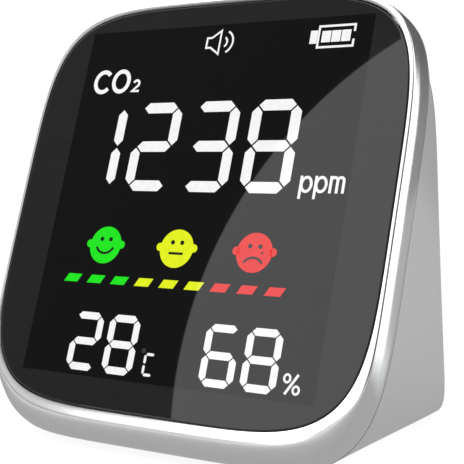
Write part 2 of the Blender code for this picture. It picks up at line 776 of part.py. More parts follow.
def tube(name, points, radius, mat, root):
    """A round wire through a few points, on one smooth line."""
    smooth = []
    last = len(points) - 1
    for i in range(last):
        p0, p1 = points[max(i - 1, 0)], points[i]
        p2, p3 = points[i + 1], points[min(i + 2, last)]
        for step in range(5):
            t = step / 5
            smooth.append(0.5 * (
                2 * p1
                + (p2 - p0) * t
                + (2 * p0 - 5 * p1 + 4 * p2 - p3) * t ** 2
                + (3 * p1 - p0 - 3 * p2 + p3) * t ** 3
            ))
    smooth.append(points[-1])
    curve = bpy.data.curves.new(name, "CURVE")
    curve.dimensions = "3D"
    curve.bevel_depth = radius
    curve.bevel_resolution = 2
    curve.use_fill_caps = True
    spline = curve.splines.new("POLY")
    spline.points.add(len(smooth) - 1)
    for target, point in zip(spline.points, smooth):
        target.co = (*point, 1)
    curve.materials.append(mat)
    ob = bpy.data.objects.new(name, curve)
    ob.parent = root
    bpy.context.scene.collection.objects.link(ob)


def battery_leads(mats, root):
    """Two leads from the cell's end to the socket on the main board."""
    centre, _, height, _ = MAIN_COMPONENTS["battery_socket"]
    mouth = MAIN_BOARD_BACK - GAP - height * MM - GAP
    level = UNDERSIDE_Z + WALL + 2 * GAP + PAD_THICK + BATTERY_THICK / 2
    for name, side, key in (("battery_lead_red", -1, "red"), ("battery_lead_black", 1, "black")):
        shift = side * LEAD_SPREAD
        y = BATTERY_FRONT_Y + LEAD_START + shift
        u, v = centre[0] * MM + shift, centre[1] * MM
        points = [
            Vector((-BATTERY_HALF_W - GAP, y, level)),
            Vector((-BATTERY_HALF_W - LEAD_LOOP, y, level + LEAD_R)),
            Vector((-BATTERY_HALF_W - LEAD_LOOP, y, level + LEAD_RISE)),
            on_face(u, v, mouth - LEAD_DROP),
            on_face(u, v, mouth),
        ]
        tube(name, points, LEAD_R, mats[key], root)


def ribbon_cable(mat, root):
    """A flat cable that hangs in a shallow curve between its two sockets."""
    row = MAIN_COMPONENTS["ribbon_socket_main"][0][1] * MM
    main = MAIN_BOARD_BACK - GAP - RIBBON_SOCKET_H - GAP
    rear = REAR_BOARD_BACK - GAP - RIBBON_SOCKET_H - GAP
    start = on_face(0, row, main)
    start_way = on_face(0, row, main - RIBBON_PULL_MAIN) - start
    end = back_point(0, RIBBON_ROW_REAR, rear)
    end_way = end - back_point(0, RIBBON_ROW_REAR, rear - RIBBON_PULL_REAR)
    path = []
    for i in range(RIBBON_STEPS + 1):
        t = i / RIBBON_STEPS
        path.append(
            start * (2 * t ** 3 - 3 * t ** 2 + 1)
            + start_way * (t ** 3 - 2 * t ** 2 + t)
            + end * (3 * t ** 2 - 2 * t ** 3)
            + end_way * (t ** 3 - t ** 2)
        )
    rings = []
    half = Vector((RIBBON_HALF_W, 0, 0))
    for i, p in enumerate(path):
        ahead = (path[min(i + 1, RIBBON_STEPS)] - path[max(i - 1, 0)]).normalized()
        up = Vector((0, -ahead.z, ahead.y)) * RIBBON_THICK / 2
        rings.append([p - half - up, p + half - up, p + half + up, p - half + up])
    bm = bmesh.new()
    add_rings(bm, rings)
    finish_object("ribbon_cable", bm, mat, root, smooth=False)


# ---------------------------------------------------------------- screws


def screw(name, axes, spot, seat, length, mat):
    """A pan-head screw whose head sits below seat and whose shank points up its local Z."""
    profile = [
        (SCREW_SHANK_R - SCREW_POINT / 2, seat + length),
        (SCREW_SHANK_R, seat + length - SCREW_POINT),
        (SCREW_SHANK_R, seat),
        (SCREW_HEAD_R, seat),
        (SCREW_HEAD_R, seat - SCREW_HEAD_H * 0.6),
        (SCREW_HEAD_R * 0.7, seat - SCREW_HEAD_H),
    ]
    bm = bmesh.new()
    add_turned(bm, profile, sides=SCREW_SIDES)
    finish_object(name, bm, mat, FACES[axes], (*spot, 0))


def screws(mat):
    sides = ("left", "right")
    for i, spot in enumerate(MAIN_POSTS):
        name = "board_screw_%s_%s" % (sides[i // 2], ("low", "high")[i % 2])
        screw(name, "face", spot, MAIN_BOARD_BACK - GAP, MAIN_SCREW_LENGTH, mat)
    for side, spot in zip(sides, REAR_POSTS):
        name = "rear_board_screw_" + side
        screw(name, "back", spot, REAR_BOARD_BACK - GAP, REAR_SCREW_LENGTH, mat)
    for side, x in zip(sides, (-CASE_SCREW_X, CASE_SCREW_X)):
        name = "case_screw_" + side
        screw(name, "base", (x, CASE_SCREW_Y), CASE_SEAT_Z - GAP, CASE_SCREW_LENGTH, mat)


# ---------------------------------------------------------------- assembly


def stand_on_origin(root):
    """Move the whole model so that the middle of its lowest level is at zero."""
    bpy.context.view_layer.update()
    graph = bpy.context.evaluated_depsgraph_get()
    points = []
    for ob in bpy.context.scene.objects:
        if ob.type in ("MESH", "CURVE") and not ob.hide_render:
            seen = ob.evaluated_get(graph)
            points += [seen.matrix_world @ vert.co for vert in seen.to_mesh().vertices]
            seen.to_mesh_clear()
    low = [min(p[k] for p in points) for k in range(3)]
    high = [max(p[k] for p in points) for k in range(3)]
    root.location = (-(low[0] + high[0]) / 2, -(low[1] + high[1]) / 2, -low[2])


def build():
    clear_scene()
    silver = material("silver_paint", (0.72, 0.73, 0.74), 0.3, 0.8)
    shell = material("silver_plastic", (0.62, 0.63, 0.64), 0.35, 0.6)
    lens = material("black_lens", (0.008, 0.008, 0.01), 0.05)
    rubber = material("black_rubber", (0.02, 0.02, 0.02), 0.8)
    grey = material("grey_plastic", (0.25, 0.26, 0.27), 0.4)
    mesh = material("dust_mesh", (0.02, 0.02, 0.02), 0.9)
    steel = material("screw_steel", (0.6, 0.6, 0.6), 0.3, 1.0)
    board = material("board_green", (0.02, 0.2, 0.08), 0.45)
    mats = {
        "panel": material("panel_glass", (0.01, 0.01, 0.015), 0.1),
        "diffuser": material("diffuser_white", (0.85, 0.85, 0.85), 0.6),
        "guide": material("clear_acrylic", (0.8, 0.85, 0.9), 0.1),
        "tray": material("white_plastic", (0.8, 0.8, 0.8), 0.5),
        "chip": material("chip_black", (0.02, 0.02, 0.02), 0.5),
        "gold": material("sensor_gold", (0.8, 0.6, 0.25), 0.3, 1.0),
        "nylon": material("nylon_white", (0.8, 0.78, 0.7), 0.5),
        "steel": steel,
        "foam": material("foam_black", (0.03, 0.03, 0.03), 0.95),
        "foil": material("battery_foil", (0.6, 0.62, 0.65), 0.35, 0.7),
        "red": material("red_wire", (0.5, 0.02, 0.02), 0.5),
        "black": material("black_wire", (0.02, 0.02, 0.02), 0.5),
    }

    root = empty("monitor")
    FACES["base"] = root
    FACES["face"] = empty("face_axes", root, Matrix.Rotation(math.pi / 2 - LEAN, 4, "X"))
    turn = Matrix((
        (-1, 0, 0),
        (0, -math.sin(BACK_LEAN), math.cos(BACK_LEAN)),
        (0, math.cos(BACK_LEAN), math.sin(BACK_LEAN)),
    ))
    FACES["back"] = empty("back_axes", root)
    FACES["back"].matrix_local = Matrix.Translation(back_point(0, 0, 0)) @ turn.to_4x4()

    front_frame(silver, root)
    front_lens(lens)
    lens_tape(mats["foam"])
    rear_housing(shell, root)
    feet(rubber, root)
    vent_mesh(mesh)
    for name, x in BUTTONS.items():
        button(name, x, grey)
        plunger(name, x, mats["chip"])
        tact_switch(name, x, steel)
    display_stack(mats)
    main_board(board)
    rear_board(board)
    main_components(mats)
    buzzer(mats["chip"])
    rear_ribbon_socket(mats["nylon"])
    charging_socket(steel, mats["chip"])
    battery(mats, root)
    battery_leads(mats, root)
    ribbon_cable(material("ribbon_white", (0.75, 0.75, 0.72), 0.5), root)
    screws(steel)
    stand_on_origin(root)


build()
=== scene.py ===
"""Looks of a table-top air quality monitor: shells, lit display, materials, lights and camera.

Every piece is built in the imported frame's own axes, in metres: X to the right, Y to the back, Z up.
"""

from math import acos, atan, copysign, cos, degrees, hypot, pi, radians, sin, tan, tau

import bmesh
import bpy
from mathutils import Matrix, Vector

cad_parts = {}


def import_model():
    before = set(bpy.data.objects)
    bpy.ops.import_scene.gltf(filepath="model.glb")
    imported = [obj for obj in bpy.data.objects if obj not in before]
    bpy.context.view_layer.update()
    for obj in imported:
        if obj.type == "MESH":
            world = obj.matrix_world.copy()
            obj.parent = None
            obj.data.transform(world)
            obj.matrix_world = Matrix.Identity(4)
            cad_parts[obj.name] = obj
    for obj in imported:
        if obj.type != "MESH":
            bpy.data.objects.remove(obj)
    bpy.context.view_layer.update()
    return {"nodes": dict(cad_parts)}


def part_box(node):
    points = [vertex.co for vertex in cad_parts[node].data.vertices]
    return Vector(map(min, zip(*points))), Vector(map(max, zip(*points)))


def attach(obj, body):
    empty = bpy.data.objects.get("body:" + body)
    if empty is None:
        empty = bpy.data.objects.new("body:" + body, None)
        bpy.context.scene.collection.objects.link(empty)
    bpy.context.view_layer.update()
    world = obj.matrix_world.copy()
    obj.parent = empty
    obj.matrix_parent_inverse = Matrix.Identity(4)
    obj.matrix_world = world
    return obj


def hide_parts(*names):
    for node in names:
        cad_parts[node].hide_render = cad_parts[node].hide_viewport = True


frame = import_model()

MM = 0.001

# The case, as the CAD has it
LEAN = radians(19.3)
WALL = 2.0 * MM
GAP = 0.3 * MM
UNDERSIDE_Z = -49.1 * MM
LENS_HALF_W = 43.9 * MM
LENS_HALF_H = 43.3 * MM
LENS_MID_V = -0.8 * MM
LENS_SQUARENESS = 4.8
LENS_THICK = 1.5 * MM
LENS_BEVEL = 0.25 * MM
FRAME_HALF_W = 45.0 * MM
FRAME_HALF_H = 47.7 * MM
FRAME_MID_V = -3.8 * MM
FRAME_RISE = 0.7 * MM
FRAME_SQUARENESS = 5.0
FRAME_DEPTH = 7.1 * MM
FRAME_WALL = 1.8 * MM
LEDGE_FRONT = -2.4 * MM
LEDGE_BACK = -3.8 * MM
OPENING_HALF_W = 34.0 * MM
OPENING_TOP = 38.6 * MM
OPENING_LOW = -39.5 * MM
OPENING_SQUARENESS = 8.0
LIP_LENGTH = 1.5 * MM
LIP_THICK = 0.8 * MM
LIP_CLEARANCE = 0.9 * MM
LIP_ROOT = -6.0 * MM
BACK_HALF_W = 35.6 * MM
BACK_TOP_Z = 35.0 * MM
BACK_FLARE = 0.6 * MM
BACK_Y = 46.0 * MM
BACK_LEAN = atan(0.1035)
BACK_SQUARENESS_TOP = 6.0
BACK_SQUARENESS_LOW = 18.0
BACK_EDGE_RADIUS = 3.8 * MM
BUTTONS = {"power": -14.0 * MM, "mode": 0.0, "alarm": 14.0 * MM}
BUTTON_ROW = 38.0 * MM
BUTTON_R = 4.2 * MM
BUTTON_PROUD = 1.0 * MM
FLANGE_R = 5.3 * MM
FLANGE_THICK = 0.8 * MM
STEM_R = 1.5 * MM
STEM_END = -4.4 * MM
REAR_BOARD_FRONT = -8.8 * MM
SCREW_SHANK_R = 1.0 * MM
SCREW_HEAD_R = 2.2 * MM
SOCKET_ROW = 15.0 * MM
SOCKET_HALF_W = 4.5 * MM
SOCKET_HALF_H = 1.6 * MM
SLOT_COUNT = 6
SLOT_PITCH = 3.6 * MM
SLOT_FIRST = 46.5 * MM
SLOT_HALF_L = 17.0 * MM
SLOT_HALF_W = 0.9 * MM
FOOT_R = 4.5 * MM
FOOT_POCKET = 0.8 * MM
SCREW_SEAT = 1.0 * MM
FEET = ("foot_front_left", "foot_front_right", "foot_rear_left", "foot_rear_right")
CASE_SCREWS = ("case_screw_left", "case_screw_right")

# How fine the shown surfaces are, and the small edges that they add
OUTLINE_POINTS = 288
CORNER_CROWDING = 1.6
FARTHEST_RIM = 20 * MM
HALVINGS = 40
RIM_STEPS = 30
RIM_SOFT = 2.35
RIM_EDGE_RADIUS = 0.38 * MM
RIM_BAND_DROP = 0.06 * MM
RIM_PEAK = 0.15 * MM
SIDE_BEND = 2.9 * MM
SIDE_BEND_SOFTNESS = 0.5 * MM
SIDE_SLOPE_FRONT = tan(radians(6))
SIDE_SLOPE_REAR = tan(radians(1))
CHIN_STARTS = 0.1
CHIN_FULL = 0.85
LENS_GAP = 0.14 * MM
SEAM_GAP = 0.1 * MM
LOFT_STEPS = 24
EDGE_STEPS = 14
ROUND_SIDES = 72
FINE_EDGE = 0.12 * MM
HOLE_CHAMFER = 0.35 * MM
SOFT_UNDERSIDE = 1.6 * MM
HARD_UNDERSIDE = 0.1 * MM
LENS_BEVEL_STEPS = 4
SHARP_ANGLE = 35
STEP_LENGTH = 1.2 * MM
STEP_DROP = 0.09 * MM

# The buttons, the socket and its contacts, the mesh and the feet
CAP_ROUND = 0.45 * MM
CAP_DISH = 0.18 * MM
ICON_LEVEL = BUTTON_PROUD - 0.1 * MM
ICON_THICK = 0.05 * MM
ICON_STROKE_MM = 0.34
SOCKET_FRONT = -0.2 * MM
SOCKET_WALL = 0.35 * MM
SOCKET_LIP = 0.12 * MM
SOCKET_FLOOR = 1.5 * MM
TONGUE_HALF_H = 0.35 * MM
CONTACT_COUNT = 6
CONTACT_PITCH = 0.95 * MM
CONTACT_HALF_W = 0.22 * MM
CONTACT_SUNK = 0.05 * MM
CONTACT_PROUD = 0.06 * MM
CONTACT_ENDS = (-5.6 * MM, -1.6 * MM)
WIRE = 0.13 * MM
WIRE_PITCH = 0.75 * MM
WIRE_SIDES = 6
MESH_SIDE = 1.7 * MM
MESH_END = 2.2 * MM
FOOT_ROUND = 0.4 * MM
FOOT_DISH = 0.1 * MM

# The display window, and how far its figures stand out of the lens
WINDOW_W = 68.5 * MM
WINDOW_H = 1.104 * WINDOW_W
WINDOW_SHIFT = 0.24 * MM
INK_LOW = -0.02 * MM
INK_TOP = 0.03 * MM
MARK_TOP = 0.05 * MM

lens_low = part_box("front_lens")[0]
case_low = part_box("rear_housing")[0]
MIDDLE = Vector((
    0,
    lens_low.y + (LENS_HALF_H - LENS_MID_V - LENS_BEVEL) * sin(LEAN),
    case_low.z - UNDERSIDE_Z,
))


# ---- axes and outlines


def on_face(u, v, w):
    """A point given across, up and out from the middle of the display window."""
    return MIDDLE + Vector((
        u,
        v * sin(LEAN) - w * cos(LEAN),
        v * cos(LEAN) + w * sin(LEAN),
    ))


def on_back(x, up, out):
    """A point given across to the right as seen from behind, up and out from the foot of the back."""
    foot = BACK_Y - UNDERSIDE_Z * tan(BACK_LEAN)
    return MIDDLE + Vector((
        -x,
        foot - up * sin(BACK_LEAN) + out * cos(BACK_LEAN),
        UNDERSIDE_Z + up * cos(BACK_LEAN) + out * sin(BACK_LEAN),
    ))


def standing(x, y, z):
    """A point of a turned piece that stands upright on the frame's own axes."""
    return Vector((x, y, z))


def box_middle(name):
    """The middle of a CAD node's box as (x, y), with its lowest and its highest level."""
    low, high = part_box(name)
    return ((low.x + high.x) / 2, (low.y + high.y) / 2), low.z, high.z


def soft_floor(ring, lowest, softness=SOFT_UNDERSIDE):
    """Lift a ring's points above a level floor, with a small round where the surface meets it."""
    level = MIDDLE.z + lowest
    for p in ring:
        near = max(softness - abs(p.z - level), 0) / softness
        p.z = max(p.z, level) + near * near * softness / 4
    return ring


def outline(half_w, top, low, square_top, square_low):
    """A superellipse about the middle of its height, with more points towards its corners."""
    mid = (top + low) / 2
    half_h = (top - low) / 2
    quarter = OUTLINE_POINTS // 4
    points = []
    for i in range(OUTLINE_POINTS):
        turn, step = divmod(i, quarter)
        q = 2 * step / quarter - 1
        angle = radians(90 * turn + 45 + 45 * copysign(abs(q) ** CORNER_CROWDING, q))
        c, s = cos(angle), sin(angle)
        power = square_top if s >= 0 else square_low
        k = (abs(c) ** power + abs(s) ** power) ** (-1 / power)
        points.append((half_w * c * k, mid + half_h * s * k))
    return points


def lens_outline(grow):
    top = LENS_MID_V + LENS_HALF_H + grow
    low = LENS_MID_V - LENS_HALF_H - grow
    return outline(LENS_HALF_W + grow, top, low, LENS_SQUARENESS, LENS_SQUARENESS)


def frame_outline(grow):
    top = FRAME_MID_V + FRAME_HALF_H + grow + FRAME_RISE
    low = FRAME_MID_V - FRAME_HALF_H - grow + FRAME_RISE
    return outline(FRAME_HALF_W + grow, top, low, FRAME_SQUARENESS, FRAME_SQUARENESS)


def opening_outline():
    return outline(OPENING_HALF_W, OPENING_TOP, OPENING_LOW, OPENING_SQUARENESS, OPENING_SQUARENESS)


def face_ring(points, w, lowest):
    """An outline of the hidden inside, at a depth and above a level floor."""
    return soft_floor([on_face(u, v, w) for u, v in points], lowest, HARD_UNDERSIDE)


def back_ring(inset, out):
    """The back wall's outline drawn in by inset, out from the wall."""
    top = (BACK_TOP_Z - UNDERSIDE_Z) / cos(BACK_LEAN)
    points = outline(
        BACK_HALF_W - inset, top - inset, inset, BACK_SQUARENESS_TOP, BACK_SQUARENESS_LOW
    )
    ring = []
    for x, up in points:
        flare = BACK_FLARE * max(1 - up / top, 0) ** 3
        ring.append(on_back(-x - copysign(flare, x), up, out))
    return ring


def circle(radius, centre=(0, 0), sides=ROUND_SIDES):
    turns = [tau * i / sides for i in range(sides)]
    return [(centre[0] + radius * cos(a), centre[1] + radius * sin(a)) for a in turns]


def rectangle(left, right, low, top):
    return [(left, low), (right, low), (right, top), (left, top)]


def arc(centre, radius, start, end, steps=20, stretch=1.0):
    """Points of an arc in degrees; stretch makes it taller than it is wide."""
    points = []
    for i in range(steps + 1):
        a = radians(start + (end - start) * i / steps)
        x = centre[0] + radius * cos(a)
        points.append((x, centre[1] + radius * stretch * sin(a)))
    return points


def stadium(half_length, half_width, centre=(0, 0), steps=16):
    """A slot outline with round ends."""
    reach = half_length - half_width
    right_end = arc((centre[0] + reach, centre[1]), half_width, -90, 90, steps)
    return right_end + arc((centre[0] - reach, centre[1]), half_width, 90, 270, steps)


# ---- mesh helpers


def add_rings(bm, rings, closed=False, capped=True, material_index=0):
    """Skin a list of equal rings of points; closed joins the last ring to the first."""
    loops = [[bm.verts.new(point) for point in ring] for ring in rings]
    pairs = list(zip(loops, loops[1:]))
    if closed:
        pairs.append((loops[-1], loops[0]))
    faces = []
    for low, high in pairs:
        for i in range(len(low)):
            j = (i + 1) % len(low)
            faces.append(bm.faces.new((low[i], low[j], high[j], high[i])))
    if capped and not closed:
        faces.append(bm.faces.new(loops[0]))
        faces.append(bm.faces.new(loops[-1]))
    for face in faces:
        face.material_index = material_index
    return loops


def new_object(name, bm):
    """Put a bmesh into the scene as an object."""
    mesh = bpy.data.meshes.new(name)
    bm.to_mesh(mesh)
    bm.free()
    ob = bpy.data.objects.new(name, mesh)
    bpy.context.scene.collection.objects.link(ob)
    return ob


def shade(mesh, angle=SHARP_ANGLE):
    mesh.shade_smooth()
    mesh.set_sharp_from_angle(angle=radians(angle))


def make_object(name, bm, materials, angle=SHARP_ANGLE):
    """Turn a bmesh into a smooth-shaded object with outward faces."""
    bmesh.ops.recalc_face_normals(bm, faces=bm.faces)
    ob = new_object(name, bm)
    shade(ob.data, angle)
    for mat in materials:
        ob.data.materials.append(mat)
    return ob


def piece(ob, body, slot, *nodes):
    """Fix a piece to its body and hide the CAD nodes that it stands for; slot is not used."""
    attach(ob, body)
    if nodes:
        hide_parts(*nodes)


def finished(name, bm, body, slot, *nodes, materials=None, angle=SHARP_ANGLE):
    """A piece that needs no cuts; unless materials are given, it has the slot's own."""
    piece(make_object(name, bm, materials or [MATERIALS[slot]], angle), body, slot, *nodes)


def cut(ob, bm):
    """Take a bmesh tool away from an object."""
    bmesh.ops.recalc_face_normals(bm, faces=bm.faces)
    tool = new_object("tool", bm)
    mod = ob.modifiers.new("cut", "BOOLEAN")
    mod.operation = "DIFFERENCE"
    mod.solver = "EXACT"
    mod.object = tool
    graph = bpy.context.evaluated_depsgraph_get()
    cut_mesh = bpy.data.meshes.new_from_object(ob.evaluated_get(graph))
    ob.modifiers.clear()
    name, old, tool_mesh = ob.data.name, ob.data, tool.data
    ob.data = cut_mesh
    bpy.data.objects.remove(tool)
    bpy.data.meshes.remove(old)
    bpy.data.meshes.remove(tool_mesh)
    cut_mesh.name = name
    shade(cut_mesh)


def turned(bm, profile, place, centre=(0, 0), sides=ROUND_SIDES):
    """A turned solid from (radius, height) pairs; place sets a point of its axes in the frame."""
    rings = []
    for radius, height in profile:
        rings.append([place(x, y, height) for x, y in circle(radius, centre, sides)])
    add_rings(bm, rings)


# ---- materials


def add_node(owner, kind, inputs=None, **settings):
    """A shader node; an input given a socket is linked, and any other is set."""
    tree = owner.node_tree
    node = tree.nodes.new("ShaderNode" + kind)
    for key, value in settings.items():
        setattr(node, key, value)
    for key, value in (inputs or {}).items():
        if isinstance(value, bpy.types.NodeSocket):
            tree.links.new(value, node.inputs[key])
        else:
            node.inputs[key].default_value = value
    return node


def to_shader(mat, key, socket):
    """Link a socket to an input of the material's Principled BSDF."""
    mat.node_tree.links.new(socket, mat.node_tree.nodes["Principled BSDF"].inputs[key])


def principled(name, colour, roughness, metallic=0.0, **sockets):
    """A material with one Principled BSDF, and the sockets that are the same all over it."""
    mat = bpy.data.materials.new(name)
    mat.use_nodes = True
    inputs = mat.node_tree.nodes["Principled BSDF"].inputs
    sockets.update(Base_Color=(*colour, 1), Roughness=roughness, Metallic=metallic)
    for key, value in sockets.items():
        inputs[key.replace("_", " ")].default_value = value
    return mat


def texture(mat, kind, scale, inputs):
    """A procedural texture on the piece's own coordinates, in metres."""
    place = add_node(mat, "TexCoord").outputs["Object"]
    return add_node(mat, kind, {"Vector": place, "Scale": scale, **inputs})


def noise(mat, scale, detail=3.0):
    return texture(mat, "TexNoise", scale, {"Detail": detail}).outputs["Fac"]


def map_range(owner, source, low, high, start=0.3, end=0.7):
    inputs = {"Value": source, "From Min": start, "From Max": end, "To Min": low, "To Max": high}
    return add_node(owner, "MapRange", inputs).outputs["Result"]


def vary_roughness(mat, scale, low, high):
    to_shader(mat, "Roughness", map_range(mat, noise(mat, scale), low, high))


def vary_colour(mat, scale, dark, light):
    """Base colour that drifts between two close tones."""
    share = map_range(mat, noise(mat, scale), 0, 1)
    inputs = {"Factor": share, "A": (*dark, 1), "B": (*light, 1)}
    mix = add_node(mat, "Mix", inputs, data_type="RGBA")
    to_shader(mat, "Base Color", mix.outputs["Result"])


def grain(mat, scale, depth):
    """A fine moulded or sprayed grain as bump, with its real depth."""
    inputs = {"Distance": depth, "Strength": 1.0, "Height": noise(mat, scale, 4.0)}
    to_shader(mat, "Normal", add_node(mat, "Bump", inputs).outputs["Normal"])


def tint(colour, factor):
    return tuple(min(c * factor, 1) for c in colour)


def moulded(name, colour, roughness, grain_mm, metallic=0.0, spread=0.05):
    """A moulded or painted surface: close tones, a grain and an uneven gloss."""
    mat = principled(name, colour, roughness, metallic)
    vary_colour(mat, 400, tint(colour, 1 - spread), tint(colour, 1 + spread))
    vary_roughness(mat, 900, roughness * 0.92, roughness * 1.08)
    grain(mat, 5000, grain_mm * MM)
    return mat


def silver_paint():
    mat = principled("silver_paint", (0.78, 0.785, 0.79), 0.15, 0.95)
    vary_colour(mat, 9000, (0.765, 0.77, 0.775), (0.795, 0.80, 0.805))
    vary_roughness(mat, 1200, 0.14, 0.16)
    grain(mat, 7000, 0.0006 * MM)
    return mat


def silver_plastic():
    mat = principled("silver_plastic", (0.74, 0.745, 0.75), 0.32, 0.8)
    vary_colour(mat, 7000, (0.725, 0.73, 0.735), (0.755, 0.76, 0.765))
    vary_roughness(mat, 1000, 0.3, 0.34)
    grain(mat, 4500, 0.0012 * MM)
    return mat


def lens_material(name, tone):
    mat = principled(name, (tone, tone, tone * 1.04), 0.018, IOR=1.42)
    vary_colour(mat, 300, (tone * 0.97,) * 3, (tone * 1.03, tone * 1.03, tone * 1.07))
    vary_roughness(mat, 250, 0.016, 0.02)
    return mat


def lit(name, colour, strength=1.0):
    """A lit segment seen in the glossy window."""
    mat = principled(name, (0.004, 0.004, 0.004), 0.04, IOR=1.5, Emission_Color=(*colour, 1))
    glow = map_range(mat, noise(mat, 900, 2.0), strength * 0.96, strength * 1.04)
    to_shader(mat, "Emission Strength", glow)
    return mat


def circuit_board():
    """Green solder mask with copper runs that show faintly through it."""
    mat = principled("circuit_board", (0.02, 0.2, 0.08), 0.35)
    runs = {
        "Mortar Size": 0.03,
        "Mortar Smooth": 0.1,
        "Color1": (0.012, 0.15, 0.055, 1),
        "Color2": (0.016, 0.18, 0.065, 1),
        "Mortar": (0.05, 0.32, 0.13, 1),
    }
    to_shader(mat, "Base Color", texture(mat, "TexBrick", 260, runs).outputs["Color"])
    vary_roughness(mat, 700, 0.3, 0.42)
    grain(mat, 2500, 0.002 * MM)
    return mat


# Colour, roughness, grain in millimetres, and where it matters metallic value and spread
MOULDED = {
    "black_foam": ((0.02, 0.02, 0.02), 0.95, 0.02),
    "dust_mesh": ((0.03, 0.03, 0.032), 0.5, 0.001),
    "panel_glass": ((0.015, 0.015, 0.02), 0.08, 0.0),
    "diffuser_film": ((0.85, 0.85, 0.85), 0.55, 0.002, 0, 0.02),
    "clear_acrylic": ((0.8, 0.85, 0.9), 0.1, 0.0, 0, 0.02),
    "white_plastic": ((0.8, 0.8, 0.78), 0.45, 0.004, 0, 0.02),
    "chip_plastic": ((0.025, 0.025, 0.027), 0.5, 0.006),
    "gold_plate": ((0.83, 0.62, 0.27), 0.28, 0.001, 1),
    "white_nylon": ((0.8, 0.78, 0.7), 0.42, 0.003, 0, 0.03),
    "socket_steel": ((0.62, 0.63, 0.64), 0.28, 0.001, 1),
    "battery_foil": ((0.7, 0.71, 0.74), 0.32, 0.003, 0.85),
    "red_wire": ((0.5, 0.02, 0.02), 0.4, 0.002),
    "black_wire": ((0.02, 0.02, 0.02), 0.4, 0.002),
    "ribbon_film": ((0.78, 0.77, 0.72), 0.35, 0.001, 0, 0.03),
    "black_rubber": ((0.022, 0.022, 0.023), 0.7, 0.012),
    "grey_plastic": ((0.16, 0.165, 0.17), 0.38, 0.004),
    "screw_steel": ((0.6, 0.6, 0.6), 0.3, 0.001, 1),
    "print_white": ((0.75, 0.75, 0.75), 0.5, 0.001, 0, 0.02),
}
MATERIALS = {name: moulded(name, *values) for name, values in MOULDED.items()}
MATERIALS["silver_paint"] = silver_paint()
MATERIALS["silver_plastic"] = silver_plastic()
MATERIALS["circuit_board"] = circuit_board()
LENS_BORDER = lens_material("lens_border", 0.0175)
LENS_WINDOW = lens_material("lens_window", 0.0048)
LIT_WHITE = lit("lit_white", (1.0, 1.0, 1.0), 0.92)
LIT_GREEN = lit("lit_green", (0.012, 0.78, 0.012))
LIT_YELLOW = lit("lit_yellow", (0.77, 0.88, 0.012))
LIT_RED = lit("lit_red", (0.77, 0.006, 0.006))
LIT_DIM = lit("lit_dim", (1.0, 1.0, 1.0), 0.06)
INK_DARK = principled("ink_dark", (0.012, 0.012, 0.012), 0.06)
vary_roughness(INK_DARK, 900, 0.05, 0.07)


# ---- case shells


def rim_reach(u, v, way):
    """How far it is from a point of the face to the frame's outline, along a direction."""
    near, far = 0.0, FARTHEST_RIM
    for _ in range(HALVINGS):
        t = (near + far) / 2
        x = (u + t * way.x) / FRAME_HALF_W
        y = (v + t * way.y - FRAME_MID_V) / FRAME_HALF_H
        inside = abs(x) ** FRAME_SQUARENESS + abs(y) ** FRAME_SQUARENESS < 1
        near, far = (t, far) if inside else (near, t)
    return near


def hinge(x):
    """Zero below nought and x above it, with a soft bend between."""
    return (x + hypot(x, SIDE_BEND_SOFTNESS)) / 2


def side_reach(depth):
    """How far the frame's side stands out beyond its outline, at a depth behind the face."""
    front = SIDE_SLOPE_FRONT * hinge(SIDE_BEND - depth)
    rear = SIDE_SLOPE_REAR * hinge(depth - SIDE_BEND)
    return RIM_PEAK - front - rear


def crisp_rim(s, width):
    """A nearly flat band, a small round and a side in two facets: (out, back) at a share s."""
    flat_end, edge_end = 0.2, 0.45
    shoulder = width + side_reach(RIM_EDGE_RADIUS)
    if s < flat_end:
        share = s / flat_end
        return (shoulder - RIM_EDGE_RADIUS) * share, RIM_BAND_DROP * share * share
    if s < edge_end:
        a = pi / 2 * (s - flat_end) / (edge_end - flat_end)
        out = shoulder - RIM_EDGE_RADIUS * (1 - sin(a))
        return out, RIM_BAND_DROP + RIM_EDGE_RADIUS * (1 - cos(a))
    side_starts = RIM_BAND_DROP + RIM_EDGE_RADIUS
    depth = side_starts + (FRAME_DEPTH - side_starts) * (s - edge_end) / (1 - edge_end)
    return width + side_reach(depth), depth


def soft_rim(s, width):
    """One round curve from the lens gap to the rear edge."""
    a = pi / 2 * s
    power = 2 / RIM_SOFT
    return width * sin(a) ** power, FRAME_DEPTH * (1 - max(cos(a), 0) ** power)


def rim_rings():
    """The visible skin of the frame, from the lens gap out and round to its rear edge.

    At the top and sides it is a nearly flat band with a crisp edge and a side in two facets,
    and the wide chin is one soft curve. A shallow step runs round just before the rear edge.
    """
    inner = lens_outline(LENS_GAP)
    count = len(inner)
    rings = [[] for _ in range(RIM_STEPS + 3)]
    for k, (u, v) in enumerate(inner):
        before, after = inner[k - 1], inner[(k + 1) % count]
        along = Vector((after[0] - before[0], after[1] - before[1])).normalized()
        way = Vector((along.y, -along.x))
        width = rim_reach(u, v, way)
        mix = min(max((-way.y - CHIN_STARTS) / (CHIN_FULL - CHIN_STARTS), 0), 1)
        mix = mix * mix * (3 - 2 * mix)
        profile = [(0.0, FINE_EDGE)]
        for i in range(RIM_STEPS + 1):
            s = i / RIM_STEPS
            out, back = (a + (b - a) * mix for a, b in zip(crisp_rim(s, width), soft_rim(s, width)))
            out = max(out, FINE_EDGE / 2)
            out -= STEP_DROP * max(back - FRAME_DEPTH + STEP_LENGTH, 0) / STEP_LENGTH
            profile.append((out, min(back, FRAME_DEPTH - FINE_EDGE / 2)))
        profile.append((profile[-1][0] - FINE_EDGE / 2, FRAME_DEPTH))
        for ring, (out, back) in zip(rings, profile):
            rise = FRAME_RISE * back / FRAME_DEPTH
            ring.append(on_face(u + way.x * out, v + way.y * out + rise, -back))
    return [soft_floor(ring, UNDERSIDE_Z) for ring in rings]


